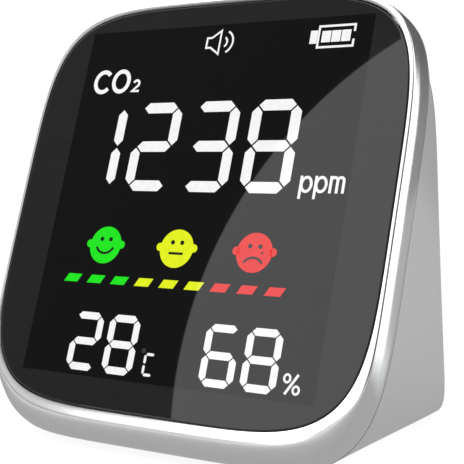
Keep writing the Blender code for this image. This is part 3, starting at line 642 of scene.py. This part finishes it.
def frame_shell():
    """The front frame: its visible skin, then its rear lip, its inside and its ledge for the lens."""
    lip_out = WALL + LIP_CLEARANCE
    lip_in = lip_out + LIP_THICK
    lip_end = -FRAME_DEPTH - LIP_LENGTH
    lip_floor = UNDERSIDE_Z + WALL + GAP
    floor_inside = UNDERSIDE_Z + WALL
    hidden = (
        (frame_outline(-lip_out), -FRAME_DEPTH, lip_floor),
        (frame_outline(-lip_out), lip_end, lip_floor),
        (frame_outline(-lip_in), lip_end, lip_floor + LIP_THICK),
        (frame_outline(-lip_in), -FRAME_DEPTH, lip_floor + LIP_THICK),
        (frame_outline(-FRAME_WALL), LIP_ROOT, floor_inside),
        (frame_outline(-FRAME_WALL), LEDGE_BACK, floor_inside),
        (opening_outline(), LEDGE_BACK, UNDERSIDE_Z),
        (opening_outline(), LEDGE_FRONT, UNDERSIDE_Z),
        (lens_outline(LENS_GAP), LEDGE_FRONT, UNDERSIDE_Z),
    )
    rings = rim_rings() + [face_ring(*values) for values in hidden]
    bm = bmesh.new()
    add_rings(bm, rings, closed=True)
    finished("frame_shell", bm, "case", "silver_paint", "front_frame", angle=30)


def housing_skin():
    """Rings from the housing's front edge, along its tapering sides, to its back wall."""
    seam = -FRAME_DEPTH - SEAM_GAP
    start = [on_face(u, v, seam) for u, v in frame_outline(0)]
    end = back_ring(0, -BACK_EDGE_RADIUS)
    rings = []
    for i in range(LOFT_STEPS):
        rings.append([a.lerp(b, i / LOFT_STEPS) for a, b in zip(start, end)])
    for i in range(EDGE_STEPS + 1):
        a = pi / 2 * i / EDGE_STEPS
        inset = BACK_EDGE_RADIUS * (1 - cos(a))
        rings.append(back_ring(inset, BACK_EDGE_RADIUS * (sin(a) - 1)))
    rings.append(back_ring(BACK_EDGE_RADIUS + 4 * FINE_EDGE, 0))
    return [soft_floor(ring, UNDERSIDE_Z) for ring in rings]


def housing_lining():
    """Rings from the back wall's inside to the housing's front edge."""
    floor_inside = UNDERSIDE_Z + WALL
    wall = back_ring(WALL + BACK_EDGE_RADIUS, -WALL)
    side = back_ring(WALL, -BACK_EDGE_RADIUS - WALL)
    rings = [soft_floor(ring, floor_inside, HARD_UNDERSIDE) for ring in (wall, side)]
    return [*rings, face_ring(frame_outline(-WALL), -FRAME_DEPTH - GAP, floor_inside)]


def add_hole(bm, shape, centre, *sizes, **fineness):
    """A cutter through the back wall, wider at its outer end for a small chamfer."""
    rings = []
    for grow, depth in ((0, -WALL - MM), (0, -HOLE_CHAMFER), (2 * HOLE_CHAMFER, HOLE_CHAMFER)):
        points = shape(*[size + grow for size in sizes], centre, **fineness)
        rings.append([on_back(x, y, depth) for x, y in points])
    add_rings(bm, rings)


def back_holes(shell):
    """Cut the button holes, the socket's opening and the vent slots."""
    cuts = bmesh.new()
    for x in BUTTONS.values():
        add_hole(cuts, circle, (x, BUTTON_ROW), BUTTON_R + GAP)
    add_hole(cuts, stadium, (0, SOCKET_ROW), SOCKET_HALF_W + GAP, SOCKET_HALF_H + GAP)
    for i in range(SLOT_COUNT):
        row = SLOT_FIRST + i * SLOT_PITCH
        add_hole(cuts, stadium, (0, row), SLOT_HALF_L, SLOT_HALF_W, steps=10)
    cut(shell, cuts)


def underside_wells(shell):
    """Cut the pockets of the feet and the stepped wells of the case screws."""
    floor_level = MIDDLE.z + UNDERSIDE_Z
    pocket = [(FOOT_R + GAP, floor_level + FOOT_POCKET)]
    head, shank, seat = SCREW_HEAD_R + GAP, SCREW_SHANK_R + GAP, floor_level + SCREW_SEAT
    well = [(head, seat), (shank, seat), (shank, floor_level + WALL + MM)]
    cuts = bmesh.new()
    for nodes, profile in ((FEET, pocket), (CASE_SCREWS, well)):
        radius = profile[0][0]
        mouth = [(radius + 2 * FINE_EDGE, floor_level - FINE_EDGE), (radius, floor_level + FINE_EDGE)]
        for name in nodes:
            turned(cuts, mouth + profile, standing, box_middle(name)[0])
    cut(shell, cuts)


def housing_shell():
    """The rear housing as a closed skin, with its holes in the back and its wells underneath."""
    bm = bmesh.new()
    add_rings(bm, housing_lining() + housing_skin())
    shell = make_object("housing_shell", bm, [MATERIALS["silver_plastic"]])
    back_holes(shell)
    underside_wells(shell)
    piece(shell, "case", "silver_plastic", "rear_housing")


# ---- lens and display


def lens_plate():
    """The black front plate: a printed border round a darker display window."""
    grown = [(-FINE_EDGE, -LENS_THICK), (0, FINE_EDGE - LENS_THICK)]
    for i in range(LENS_BEVEL_STEPS + 1):
        a = pi / 2 * i / LENS_BEVEL_STEPS
        grown.append((LENS_BEVEL * (cos(a) - 1), LENS_BEVEL * (sin(a) - 1)))
    grown.append((-LENS_BEVEL - 2 * FINE_EDGE, 0))
    bm = bmesh.new()
    rings = [[on_face(u, v, w) for u, v in lens_outline(grow)] for grow, w in grown]
    loops = add_rings(bm, rings, capped=False)
    bm.faces.new(loops[0])
    rim = loops[-1]
    half_w, half_h = WINDOW_W / 2, WINDOW_H / 2
    corners = [(half_w, half_h), (-half_w, half_h), (-half_w, -half_h), (half_w, -half_h)]
    window = [bm.verts.new(on_face(WINDOW_SHIFT + u, v, 0)) for u, v in corners]
    bm.faces.new(window).material_index = 1
    quarter = OUTLINE_POINTS // 4
    for k in range(4):
        middle = k * quarter + quarter // 2
        run = [rim[(middle + i) % OUTLINE_POINTS] for i in range(quarter + 1)]
        bm.faces.new([window[k], *run, window[(k + 1) % 4]])
    glass = [LENS_BORDER, LENS_WINDOW]
    finished("lens_plate", bm, "case", "black_lens", "front_lens", materials=glass, angle=40)


def on_window(u, v, w):
    """A point of the display, in millimetres across and up from the middle of the window."""
    return on_face(WINDOW_SHIFT + u * MM, v * MM, w)


def add_shape(bm, points, mark=False):
    """A thin flat shape on the lens; a mark is thicker and has the piece's second material."""
    levels = (INK_LOW, MARK_TOP if mark else INK_TOP)
    rings = [[on_window(u, v, w) for u, v in points] for w in levels]
    add_rings(bm, rings, material_index=int(mark))


def skin_band(bm, rows, closed, material_index=0):
    """Skin the four long edges of a line: low left, low right, high left and high right."""
    low_left, low_right, high_left, high_right = rows
    round_it = (high_left, high_right, low_right, low_left)
    count = len(low_left)
    faces = []
    for i in range(count if closed else count - 1):
        j = (i + 1) % count
        for k, row in enumerate(round_it):
            after = round_it[(k + 1) % 4]
            faces.append(bm.faces.new((row[i], after[i], after[j], row[j])))
    if not closed:
        for end in (0, -1):
            faces.append(bm.faces.new([row[end] for row in round_it]))
    for face in faces:
        face.material_index = material_index


def add_band(bm, path, width, closed=False, mark=False):
    """A line of one width along a path on the lens, with square ends and mitred corners."""
    points = [Vector(p) for p in path]
    last = len(points) - 1
    left, right = [], []
    for i, p in enumerate(points):
        ways = []
        if closed or i > 0:
            ways.append((p - points[i - 1]).normalized())
        if closed or i < last:
            ways.append((points[(i + 1) % len(points)] - p).normalized())
        way = sum(ways, Vector((0, 0))).normalized()
        side = Vector((-way.y, way.x))
        stretch = 1 / max(abs(way.dot(ways[0])), 0.5)
        left.append(p + side * width / 2 * stretch)
        right.append(p - side * width / 2 * stretch)
    rows = []
    for w in (INK_LOW, MARK_TOP if mark else INK_TOP):
        for line in (left, right):
            rows.append([bm.verts.new(on_window(q.x, q.y, w)) for q in line])
    skin_band(bm, rows, closed, int(mark))


def add_segment(bm, centre, length, thick, upright):
    """One pointed bar of a seven-segment digit."""
    a, b = length / 2, thick / 2
    shape = [(-a, 0), (b - a, b), (a - b, b), (a, 0), (a - b, -b), (b - a, -b)]
    if upright:
        shape = [(-y, x) for x, y in shape]
    add_shape(bm, [(centre[0] + x, centre[1] + y) for x, y in shape])


SEGMENTS = {"1": "bc", "2": "abged", "3": "abgcd", "6": "afgedc", "8": "abcdefg", "C": "afed"}


def add_digit(bm, digit, right, top, width, height, thick, split):
    """A seven-segment digit, given its right and top edges."""
    left, low = right - width, top - height
    middle = (top + low) / 2
    inset = thick / 2
    across = width - thick - 2 * split
    tall = height / 2 - inset - 2 * split
    high_mid, low_mid = (top - inset + middle) / 2, (low + inset + middle) / 2
    centre_x = (left + right) / 2
    places = {
        "a": (centre_x, top - inset),
        "g": (centre_x, middle),
        "d": (centre_x, low + inset),
        "b": (right - inset, high_mid),
        "c": (right - inset, low_mid),
        "f": (left + inset, high_mid),
        "e": (left + inset, low_mid),
    }
    for key in SEGMENTS[digit]:
        upright = key not in "agd"
        add_segment(bm, places[key], tall if upright else across, thick, upright)


def lit_piece(name, bm, *materials):
    """A finished piece of the display, lit white unless materials are given."""
    finished(name, bm, "case", "panel_glass", materials=materials or [LIT_WHITE])


def gas_label():
    """The letters of carbon dioxide, with a small low two."""
    stroke, thin_stroke = 0.95, 0.55
    tall, middle, squeeze, widen = 5.6, 26.0, 0.86, 1.04
    round_c = (tall - stroke) / 2
    bm = bmesh.new()
    letter_c = arc((-28.9, middle), round_c * squeeze * widen, 42, 318, 28, 1 / squeeze / widen)
    letter_o = arc((-24.0, middle), round_c * squeeze, 0, 351, 39, 1 / squeeze)
    hook = arc((-19.75, 25.35), 0.72, 165, -38, 12)
    add_band(bm, letter_c, stroke)
    add_band(bm, letter_o, stroke, closed=True)
    add_band(bm, hook + [(-20.6, 23.65), (-18.8, 23.65)], thin_stroke)
    lit_piece("co2_label", bm)


def unit_label():
    """The letters p, p and m."""
    stroke, bowl_r = 0.56, 1.05
    base, rise, drop = 1.55, 3.4, 1.2
    top, middle = base + rise, base + rise / 2
    bm = bmesh.new()
    for left in (23.9, 27.05):
        stem = left + stroke / 2
        add_band(bm, [(stem, base - drop), (stem, top)], stroke)
        bowl = arc((left + 1.45, middle), bowl_r, 0, 345, 23, (rise - stroke) / 2 / bowl_r)
        add_band(bm, bowl, stroke, closed=True)
    left_m = 30.2
    stems = (left_m + stroke / 2, left_m + 1.65, left_m + 2.95)
    add_band(bm, [(stems[0], base), (stems[0], top)], stroke)
    for start, end in zip(stems, stems[1:]):
        radius = (end - start) / 2
        arch = arc(((start + end) / 2, top - stroke / 2 - radius), radius, 180, 0, 10)
        add_band(bm, [(start, arch[0][1] - 0.3), *arch, (end, base)], stroke)
    lit_piece("ppm_label", bm)


def percent_sign():
    bar_stroke, ring_stroke, ring_r = 0.5, 0.425, 0.62
    bm = bmesh.new()
    for centre in ((28.1, -33.5), (30.2, -35.5)):
        add_band(bm, arc(centre, ring_r, 0, 345, 23, 1.15), ring_stroke, closed=True)
    add_band(bm, [(28.0, -36.4), (30.3, -32.65)], bar_stroke)
    lit_piece("percent_sign", bm)


def celsius_sign():
    """A letter made of segments, and a very faint degree ring."""
    bm = bmesh.new()
    add_digit(bm, "C", -1.3, -31.8, 2.7, 4.6, 0.56, 0.12)
    lit_piece("celsius_sign", bm)
    ring = bmesh.new()
    add_band(ring, arc((-4.4, -31.45), 0.32, 0, 340, 17), 0.25, closed=True)
    lit_piece("degree_mark", ring, LIT_DIM)


def speaker_icon():
    """The outline of a loudspeaker with two sound waves."""
    stroke = 0.42
    back, waist, mouth = -3.55, -2.45, -0.35
    half_box, half_cone, middle = 1.1, 2.6, 33.8
    half = [(back, half_box), (waist, half_box), (mouth, half_cone)]
    cone = [(x, middle + y) for x, y in half] + [(x, middle - y) for x, y in reversed(half)]
    bm = bmesh.new()
    add_band(bm, cone, stroke, closed=True)
    for radius, reach, steps in ((1.2, 58, 12), (2.6, 62, 18)):
        add_band(bm, arc((0.2, middle), radius, -reach, reach, steps), stroke)
    lit_piece("speaker_icon", bm)


def battery_icon():
    """A battery outline with three filled cells, open at its right end."""
    stroke, mouth = 0.46, 0.8
    left, right, top, low = 22.6, 30.3, 35.8, 31.35
    middle = (top + low) / 2
    first_cell, cell, pitch, half_cell = left + 0.72, 1.95, 2.15, 1.2
    bm = bmesh.new()
    corners = [(right, top), (left, top), (left, low), (right, low)]
    add_band(bm, [(right, middle + mouth), *corners, (right, middle - mouth)], stroke)
    add_shape(bm, rectangle(20.75, 22.3, 32.2, 35.0))
    for i in range(3):
        x = first_cell + i * pitch
        add_shape(bm, rectangle(x, x + cell, middle - half_cell, middle + half_cell))
    lit_piece("battery_icon", bm)


# The display's layout, in millimetres from the middle of the window: for each number its digits,
# the right edge of the first one, the pitch, top, width, height, thickness and split
FIGURES = {
    "co2_digits": ("1238", -20.33, 14.03, 20.7, 11.2, 19.4, 2.3, 0.26),
    "temperature_digits": ("28", -15.55, 9.15, -24.8, 7.55, 12.0, 1.5, 0.18),
    "humidity_digits": ("68", 16.9, 9.12, -24.85, 7.65, 12.0, 1.5, 0.18),
}
FACE_ROW = -10.55
FACE_R = 3.95
FACES = {
    "face_good": (-19.15, LIT_GREEN, 1),
    "face_fair": (-1.3, LIT_YELLOW, 0),
    "face_poor": (16.65, LIT_RED, -1),
}


def face_icon(name, x, material, mood):
    """A plain round face with ears; mood is the bend of its mouth, and a sad one has a tear."""
    ear_r, eye_r, tear_r, mouth_stroke = 0.85, 0.47, 0.24, 0.5
    bm = bmesh.new()
    add_shape(bm, circle(FACE_R, (x, FACE_ROW)))
    for side in (-1, 1):
        add_shape(bm, circle(ear_r, (x + side * (FACE_R + 0.1), FACE_ROW + 0.2), 32))
        add_shape(bm, circle(eye_r, (x + side * 1.12, FACE_ROW + 1.25), 32), mark=True)
    if mood == 0:
        mouth = [(x - 1.7, FACE_ROW - 1.0), (x + 1.7, FACE_ROW - 1.0)]
    elif mood > 0:
        mouth = arc((x, FACE_ROW + 0.7), 2.45, 208, 332, 20)
    else:
        mouth = arc((x, FACE_ROW - 3.5), 2.5, 145, 35, 20)
    add_band(bm, mouth, mouth_stroke, mark=True)
    if mood < 0:
        add_shape(bm, circle(tear_r, (x + 1.75, FACE_ROW + 0.05), 24), mark=True)
    lit_piece(name, bm, material, INK_DARK)


def level_bars():
    """Nine slanted bars in three colours."""
    top, low, slant, length, pitch, first = -17.0, -18.7, 1.0, 3.5, 6.05, -28.1
    colours = {"green": LIT_GREEN, "yellow": LIT_YELLOW, "red": LIT_RED}
    for k, (name, mat) in enumerate(colours.items()):
        bm = bmesh.new()
        for i in range(3):
            x = first + (3 * k + i) * pitch
            end = x + length
            add_shape(bm, [(x, low), (end, low), (end + slant, top), (x + slant, top)])
        lit_piece("level_bars_" + name, bm, mat)


def display():
    for name, (digits, first_right, pitch, *form) in FIGURES.items():
        bm = bmesh.new()
        for i, digit in enumerate(digits):
            add_digit(bm, digit, first_right + i * pitch, *form)
        lit_piece(name, bm)
    gas_label()
    unit_label()
    percent_sign()
    celsius_sign()
    speaker_icon()
    battery_icon()
    for name, values in FACES.items():
        face_icon(name, *values)
    level_bars()


# ---- buttons, socket, vents, underside


def button_cap(name, x):
    """A round cap with a dished top, its retaining flange and its stem."""
    edge = BUTTON_R - CAP_ROUND
    flange = -WALL - GAP
    profile = [
        (STEM_R, STEM_END),
        (STEM_R, flange - FLANGE_THICK),
        (FLANGE_R, flange - FLANGE_THICK),
        (FLANGE_R, flange),
        (BUTTON_R, flange),
    ]
    profile += arc((edge, BUTTON_PROUD - CAP_ROUND), CAP_ROUND, 0, 90, 8)
    for i in range(1, 9):
        depth = CAP_DISH * sin(pi / 2 * i / 8)
        profile.append((edge * (1 - i / 9), BUTTON_PROUD - depth))
    bm = bmesh.new()
    turned(bm, profile, on_back, (x, BUTTON_ROW))
    finished("button_cap_" + name, bm, "button_" + name, "grey_plastic", "button_" + name)


def back_band(bm, path, x, closed=False):
    """A printed line on a button, on (across, up) points in millimetres from its middle."""
    points = [Vector(p) for p in path]
    last = len(points) - 1
    ways = []
    for i, p in enumerate(points):
        before = points[i - 1] if closed or i > 0 else p
        after = points[(i + 1) % len(points)] if closed or i < last else p
        ways.append((after - before).normalized())
    rows = []
    for out in (ICON_LEVEL - ICON_THICK, ICON_LEVEL):
        for sign in (1, -1):
            row = []
            for p, way in zip(points, ways):
                q = p + Vector((-way.y, way.x)) * sign * ICON_STROKE_MM / 2
                row.append(bm.verts.new(on_back(x + q.x * MM, BUTTON_ROW + q.y * MM, out)))
            rows.append(row)
    skin_band(bm, rows, closed)


def button_icons():
    """A power sign, three lines for the mode and a bell for the alarm."""
    crown = arc((0, 0.35), 1.1, 180, 0, 14)
    bell = [(-1.5, -0.9), (-1.1, -0.3), *crown, (1.1, -0.3), (1.5, -0.9)]
    lines = {
        "power": [(arc((0, -0.1), 1.5, 125, 415, 30), False), ([(0, 0.2), (0, 1.75)], False)],
        "mode": [([(-1.4, row), (1.4, row)], False) for row in (-1.0, 0, 1.0)],
        "alarm": [(bell, True), ([(-0.45, -1.45), (0.45, -1.45)], False)],
    }
    for name, x in BUTTONS.items():
        bm = bmesh.new()
        for path, closed in lines[name]:
            back_band(bm, path, x, closed)
        white = [MATERIALS["print_white"]]
        finished("button_icon_" + name, bm, "button_" + name, "grey_plastic", materials=white)


def socket():
    """The charging socket's rolled shell."""
    steps = (
        (-SOCKET_WALL, REAR_BOARD_FRONT + SOCKET_FLOOR),
        (-SOCKET_WALL, SOCKET_FRONT - SOCKET_LIP),
        (-SOCKET_WALL + SOCKET_LIP / 2, SOCKET_FRONT),
        (-SOCKET_LIP / 2, SOCKET_FRONT),
        (0, SOCKET_FRONT - SOCKET_LIP),
        (0, REAR_BOARD_FRONT + GAP),
    )
    rings = []
    for grow, depth in steps:
        points = stadium(SOCKET_HALF_W + grow, SOCKET_HALF_H + grow, (0, SOCKET_ROW))
        rings.append([on_back(x, y, depth) for x, y in points])
    bm = bmesh.new()
    add_rings(bm, rings)
    finished("socket_shell", bm, "case", "socket_steel", "charging_socket")


def socket_contacts():
    """Six contacts on each side of the socket's tongue."""
    bm = bmesh.new()
    for side in (-1, 1):
        up = SOCKET_ROW + side * TONGUE_HALF_H
        low, high = sorted((up - side * CONTACT_SUNK, up + side * CONTACT_PROUD))
        for i in range(CONTACT_COUNT):
            x = (i - (CONTACT_COUNT - 1) / 2) * CONTACT_PITCH
            corners = rectangle(x - CONTACT_HALF_W, x + CONTACT_HALF_W, low, high)
            rings = [[on_back(a, b, depth) for a, b in corners] for depth in CONTACT_ENDS]
            add_rings(bm, rings)
    finished("socket_contacts", bm, "case", "gold_plate")


def vent_screen():
    """Two sets of fine wires, woven over and under each other."""
    half_l = SLOT_HALF_L + MESH_SIDE
    low = SLOT_FIRST - MESH_END
    high = SLOT_FIRST + (SLOT_COUNT - 1) * SLOT_PITCH + MESH_END
    level = -WALL - 1.5 * GAP
    swing = WIRE * 0.45
    columns = int(2 * half_l / WIRE_PITCH)
    rows = int((high - low) / WIRE_PITCH)
    steps = ((1, 0, 0), (0, 1, 0), (0, 0, 1))
    right_way, up_way, out_way = (on_back(*step) - on_back(0, 0, 0) for step in steps)
    sets = ((rows, columns, up_way, True), (columns, rows, right_way, False))
    bm = bmesh.new()
    for count, along, side_way, is_row in sets:
        for k in range(count + 1):
            rings = []
            for i in range(2 * along + 1):
                t = i / 2
                phase = cos(pi * (t + k)) * (1 if is_row else -1)
                x, y = (t, k) if is_row else (k, t)
                centre = on_back(-half_l + x * WIRE_PITCH, low + y * WIRE_PITCH, level + swing * phase)
                ring = []
                for s in range(WIRE_SIDES):
                    a = tau * s / WIRE_SIDES
                    ring.append(centre + (side_way * cos(a) + out_way * sin(a)) * WIRE / 2)
                rings.append(ring)
            add_rings(bm, rings)
    finished("vent_screen", bm, "case", "dust_mesh", "vent_mesh", angle=60)


def feet():
    """Round rubber feet with a soft edge and a shallow dish underneath."""
    for node in FEET:
        centre, low, high = box_middle(node)
        profile = [(FOOT_R * share, low + FOOT_DISH) for share in (0.2, 0.62)]
        profile.append((FOOT_R * 0.7, low))
        profile += arc((FOOT_R - FOOT_ROUND, low + FOOT_ROUND), FOOT_ROUND, -90, 0, 8)
        profile.append((FOOT_R, high))
        bm = bmesh.new()
        turned(bm, profile, standing, centre)
        finished(node.replace("foot_", "foot_pad_"), bm, "case", "black_rubber", node)


def case_screws():
    """Pan heads with a cross recess, seen in the wells of the underside."""
    head_turns = ((0.25, 0.0), (0.6, 0.05), (0.85, 0.25), (0.97, 0.55), (1, 0.9), (1, 1.5))
    mouth, floor_of_cross = (1.25 * MM, -0.1 * MM), (0.95 * MM, 0.8 * MM)
    arm_share, point = 0.28, 0.6
    for node in CASE_SCREWS:
        (x, y), low, high = box_middle(node)
        profile = [(share * SCREW_HEAD_R, low + up * MM) for share, up in head_turns]
        profile += [
            (SCREW_SHANK_R, profile[-1][1]),
            (SCREW_SHANK_R, high - point * MM),
            (point * SCREW_SHANK_R, high),
        ]
        bm = bmesh.new()
        turned(bm, profile, standing, (x, y), 48)
        screw = make_object(node.replace("screw_", "screw_cross_"), bm, [MATERIALS["screw_steel"]])
        for wide, thin in ((1, arm_share), (arm_share, 1)):
            rings = []
            for half, up in (mouth, floor_of_cross):
                a, b = half * wide, half * thin
                ring = rectangle(x - a, x + a, y - b, y + b)
                rings.append([Vector((p, q, low + up)) for p, q in ring])
            arm = bmesh.new()
            add_rings(arm, rings)
            cut(screw, arm)
        piece(screw, "case", "screw_steel", node)


# The materials of the CAD nodes that stay, by the start of their names; the longest start counts
INSIDE = {
    "black_foam": ("lens_tape", "battery_pad"),
    "panel_glass": ("display_panel",),
    "diffuser_film": ("diffuser_sheet",),
    "clear_acrylic": ("light_guide",),
    "white_plastic": ("backlight_frame",),
    "circuit_board": ("main_board", "rear_board"),
    "chip_plastic": ("mcu_chip", "climate_sensor", "buzzer", "socket_tongue", "plunger_"),
    "gold_plate": ("co2_sensor",),
    "white_nylon": ("battery_socket", "ribbon_socket_"),
    "battery_foil": ("battery",),
    "red_wire": ("battery_lead_red",),
    "black_wire": ("battery_lead_black",),
    "ribbon_film": ("ribbon_cable",),
    "socket_steel": ("switch_",),
    "screw_steel": ("board_screw_", "rear_board_screw_"),
}


def paint_inside():
    """Give every CAD node that stays its material."""
    slots = {start: slot for slot, starts in INSIDE.items() for start in starts}
    for name, node in frame["nodes"].items():
        start = max((s for s in slots if name.startswith(s)), key=len, default=None)
        if start is None:
            continue
        node.data.materials.clear()
        node.data.materials.append(MATERIALS[slots[start]])


# ---- stage, lights and camera

# The white that the camera sees, and the faint shadow where the feet come near the floor
FLOOR_RADIUS = 1.2
WHITE = 1.02
CONTACT_REACH = 0.002
CONTACT_TONE = 0.92

# What reflections see: the floor's glow from front to rear, its pool of light, and the room
FRONT_GLOW = 1.0
REAR_GLOW = 0.46
FLOOR_FADE = (-0.17, -0.035)
POOL_WAY = (1, -0.55, 0)
POOL_SIDE = (0.04, 0.058)
POOL_BACK = (0.01, 0.07)
ROOM_TONES = ((0.5, 0.26), (0.62, 0.11))

# Softboxes round the middle of the window: azimuth and elevation in degrees, distance, width,
# height and brightness. They stand side by side, because they add up where they overlap.
SOFTBOXES = {
    "right_softbox": (121.5, 17, 0.6, 0.6, 0.56, 1.7),
    "front_softbox": (-10.5, 5.8, 0.6, 0.67, 0.145, 1.9),
    "high_front_softbox": (-5, 35, 0.6, 0.18, 0.53, 1.7),
    "left_softbox": (-67.5, 34.6, 0.634, 0.226, 0.53, 0.5, True),
    "low_left_softbox": (-70, 5.8, 0.6, 0.7, 0.145, 0.55),
    "high_left_softbox": (-30, 59, 0.6, 0.6, 0.15, 0.45),
    "far_left_softbox": (-105, 45, 0.6, 0.35, 0.35, 3.0),
    "top_softbox": (20, 78, 0.7, 0.8, 0.8, 1.2),
    "back_softbox": (190, 55, 0.7, 0.7, 0.4, 1.3),
}

# The camera, from the middle of the window
CAMERA_STAND = Vector((124.3, -184.76, 8.25)) * MM
CAMERA_TURN = 31.8
CAMERA_DROP = 3.87
CAMERA_LENS = 86.2


def blank_nodes(owner):
    """Empty the node tree of a new material or world."""
    owner.use_nodes = True
    owner.node_tree.nodes.clear()
    return owner


def by_ray(owner, seen, reflected):
    """One shader for what the camera sees, and another for light and reflections."""
    camera_ray = add_node(owner, "LightPath").outputs["Is Camera Ray"]
    inputs = {"Fac": camera_ray, 1: reflected, 2: seen}
    return add_node(owner, "MixShader", inputs).outputs["Shader"]


def floor():
    """A level floor that is white to the camera, with a faint contact shadow, and clear from below.

    What the case reflects of it is grey, brighter in front, with a pool of light at the right rear.
    """
    bm = bmesh.new()
    bmesh.ops.create_circle(bm, cap_ends=True, segments=96, radius=FLOOR_RADIUS)
    ob = new_object("floor", bm)
    mat = blank_nodes(bpy.data.materials.new("floor_white"))

    place = add_node(mat, "TexCoord").outputs["Object"]
    back = add_node(mat, "SeparateXYZ", {"Vector": place}).outputs["Y"]
    fade = map_range(mat, back, FRONT_GLOW, REAR_GLOW, *FLOOR_FADE)
    across = add_node(mat, "VectorMath", {0: place, 1: POOL_WAY}, operation="DOT_PRODUCT")
    pool_side = map_range(mat, across.outputs["Value"], 0, 1, *POOL_SIDE)
    pool_back = map_range(mat, back, 0, 1, *POOL_BACK)
    pool = add_node(mat, "Math", {0: pool_side, 1: pool_back}, operation="MULTIPLY")
    total = add_node(mat, "Math", {0: pool.outputs["Value"], 1: fade}, operation="ADD")
    glow = add_node(mat, "Emission", {"Strength": total.outputs["Value"]})

    near = add_node(mat, "AmbientOcclusion", {"Distance": CONTACT_REACH}, samples=8)
    shadow = map_range(mat, near.outputs["AO"], CONTACT_TONE, WHITE, 0, 1)
    white = add_node(mat, "Emission", {"Strength": shadow})

    above = by_ray(mat, white.outputs["Emission"], glow.outputs["Emission"])
    below = add_node(mat, "NewGeometry").outputs["Backfacing"]
    clear = add_node(mat, "BsdfTransparent").outputs["BSDF"]
    mix = add_node(mat, "MixShader", {"Fac": below, 1: above, 2: clear})
    add_node(mat, "OutputMaterial", {"Surface": mix.outputs["Shader"]})
    ob.data.materials.append(mat)


def world():
    """White behind the object; for light and reflections, a dim room over a paler lower half."""
    studio = blank_nodes(bpy.data.worlds.new("studio"))
    bpy.context.scene.world = studio
    white = add_node(studio, "Background", {"Color": (1, 1, 1, 1), "Strength": WHITE})
    place = add_node(studio, "TexCoord").outputs["Generated"]
    height = add_node(studio, "SeparateXYZ", {"Vector": place}).outputs["Z"]
    share = map_range(studio, height, 0, 1, -1, 1)
    ramp = add_node(studio, "ValToRGB", {"Fac": share})
    for stop, (position, tone) in zip(ramp.color_ramp.elements, ROOM_TONES):
        stop.position = position
        stop.color = (tone, tone, tone, 1)
    room = add_node(studio, "Background", {"Color": ramp.outputs["Color"]})
    sky = by_ray(studio, white.outputs["Background"], room.outputs["Background"])
    add_node(studio, "OutputWorld", {"Surface": sky})


# The round card that the lens mirrors, given on the face's axes in window widths
CARD_OUT = 6.0
CARD_CENTRE = (-0.284, 0.207)
CARD_RADIUS = 3.72
CARD_INNER_EDGE = -1.2
CARD_GLOW = 2.32


def glare_card():
    """Part of a round softbox parallel to the lens; its edge is the curved edge of the glare."""
    edge = degrees(acos((CARD_INNER_EDGE - CARD_CENTRE[0]) / CARD_RADIUS))
    points = []
    for x, y in arc(CARD_CENTRE, CARD_RADIUS, edge, 360 - edge, 96):
        points.append(on_face(WINDOW_SHIFT + x * WINDOW_W, y * WINDOW_W, CARD_OUT * WINDOW_W))
    bm = bmesh.new()
    bm.faces.new([bm.verts.new(p) for p in points])
    ob = new_object("glare_card", bm)
    mat = blank_nodes(bpy.data.materials.new("card_glow"))
    glow = add_node(mat, "Emission", {"Strength": CARD_GLOW})
    add_node(mat, "OutputMaterial", {"Surface": glow.outputs["Emission"]})
    ob.data.materials.append(mat)
    ob.visible_camera = False
    ob.visible_shadow = False


def place_object(name, data, location, way):
    """Put a light or camera into the scene, looking along a direction."""
    ob = bpy.data.objects.new(name, data)
    ob.location = location
    ob.rotation_mode = "QUATERNION"
    ob.rotation_quaternion = way.to_track_quat("-Z", "Y")
    bpy.context.scene.collection.objects.link(ob)
    return ob


def softbox(name, azimuth, elevation, distance, width, height, radiance, upright=False):
    """A rectangular area light that faces the object; an upright one does so without leaning."""
    a, e = radians(azimuth), radians(elevation)
    way = Vector((sin(a) * cos(e), -cos(a) * cos(e), sin(e)))
    light = bpy.data.lights.new(name, "AREA")
    light.shape = "RECTANGLE"
    light.size = width
    light.size_y = height
    light.energy = radiance * pi * width * height
    facing = Vector((-way.x, -way.y, 0 if upright else -way.z))
    place_object(name, light, MIDDLE + way * distance, facing)


def lights():
    glare_card()
    for name, values in SOFTBOXES.items():
        softbox(name, *values)


def camera():
    """The camera stands to the right of the face and looks a little down."""
    turn, drop = radians(CAMERA_TURN), radians(CAMERA_DROP)
    across = cos(drop)
    way = Vector((-sin(turn) * across, cos(turn) * across, -sin(drop)))
    data = bpy.data.cameras.new("camera")
    data.lens = CAMERA_LENS
    data.clip_start = 0.01
    data.clip_end = 20
    bpy.context.scene.camera = place_object("camera", data, MIDDLE + CAMERA_STAND, way)


frame_shell()
housing_shell()
lens_plate()
display()
for button_name, button_x in BUTTONS.items():
    button_cap(button_name, button_x)
button_icons()
socket()
socket_contacts()
vent_screen()
feet()
case_screws()
paint_inside()
floor()
world()
lights()
camera()
bpy.context.scene.view_settings.view_transform = "Standard"
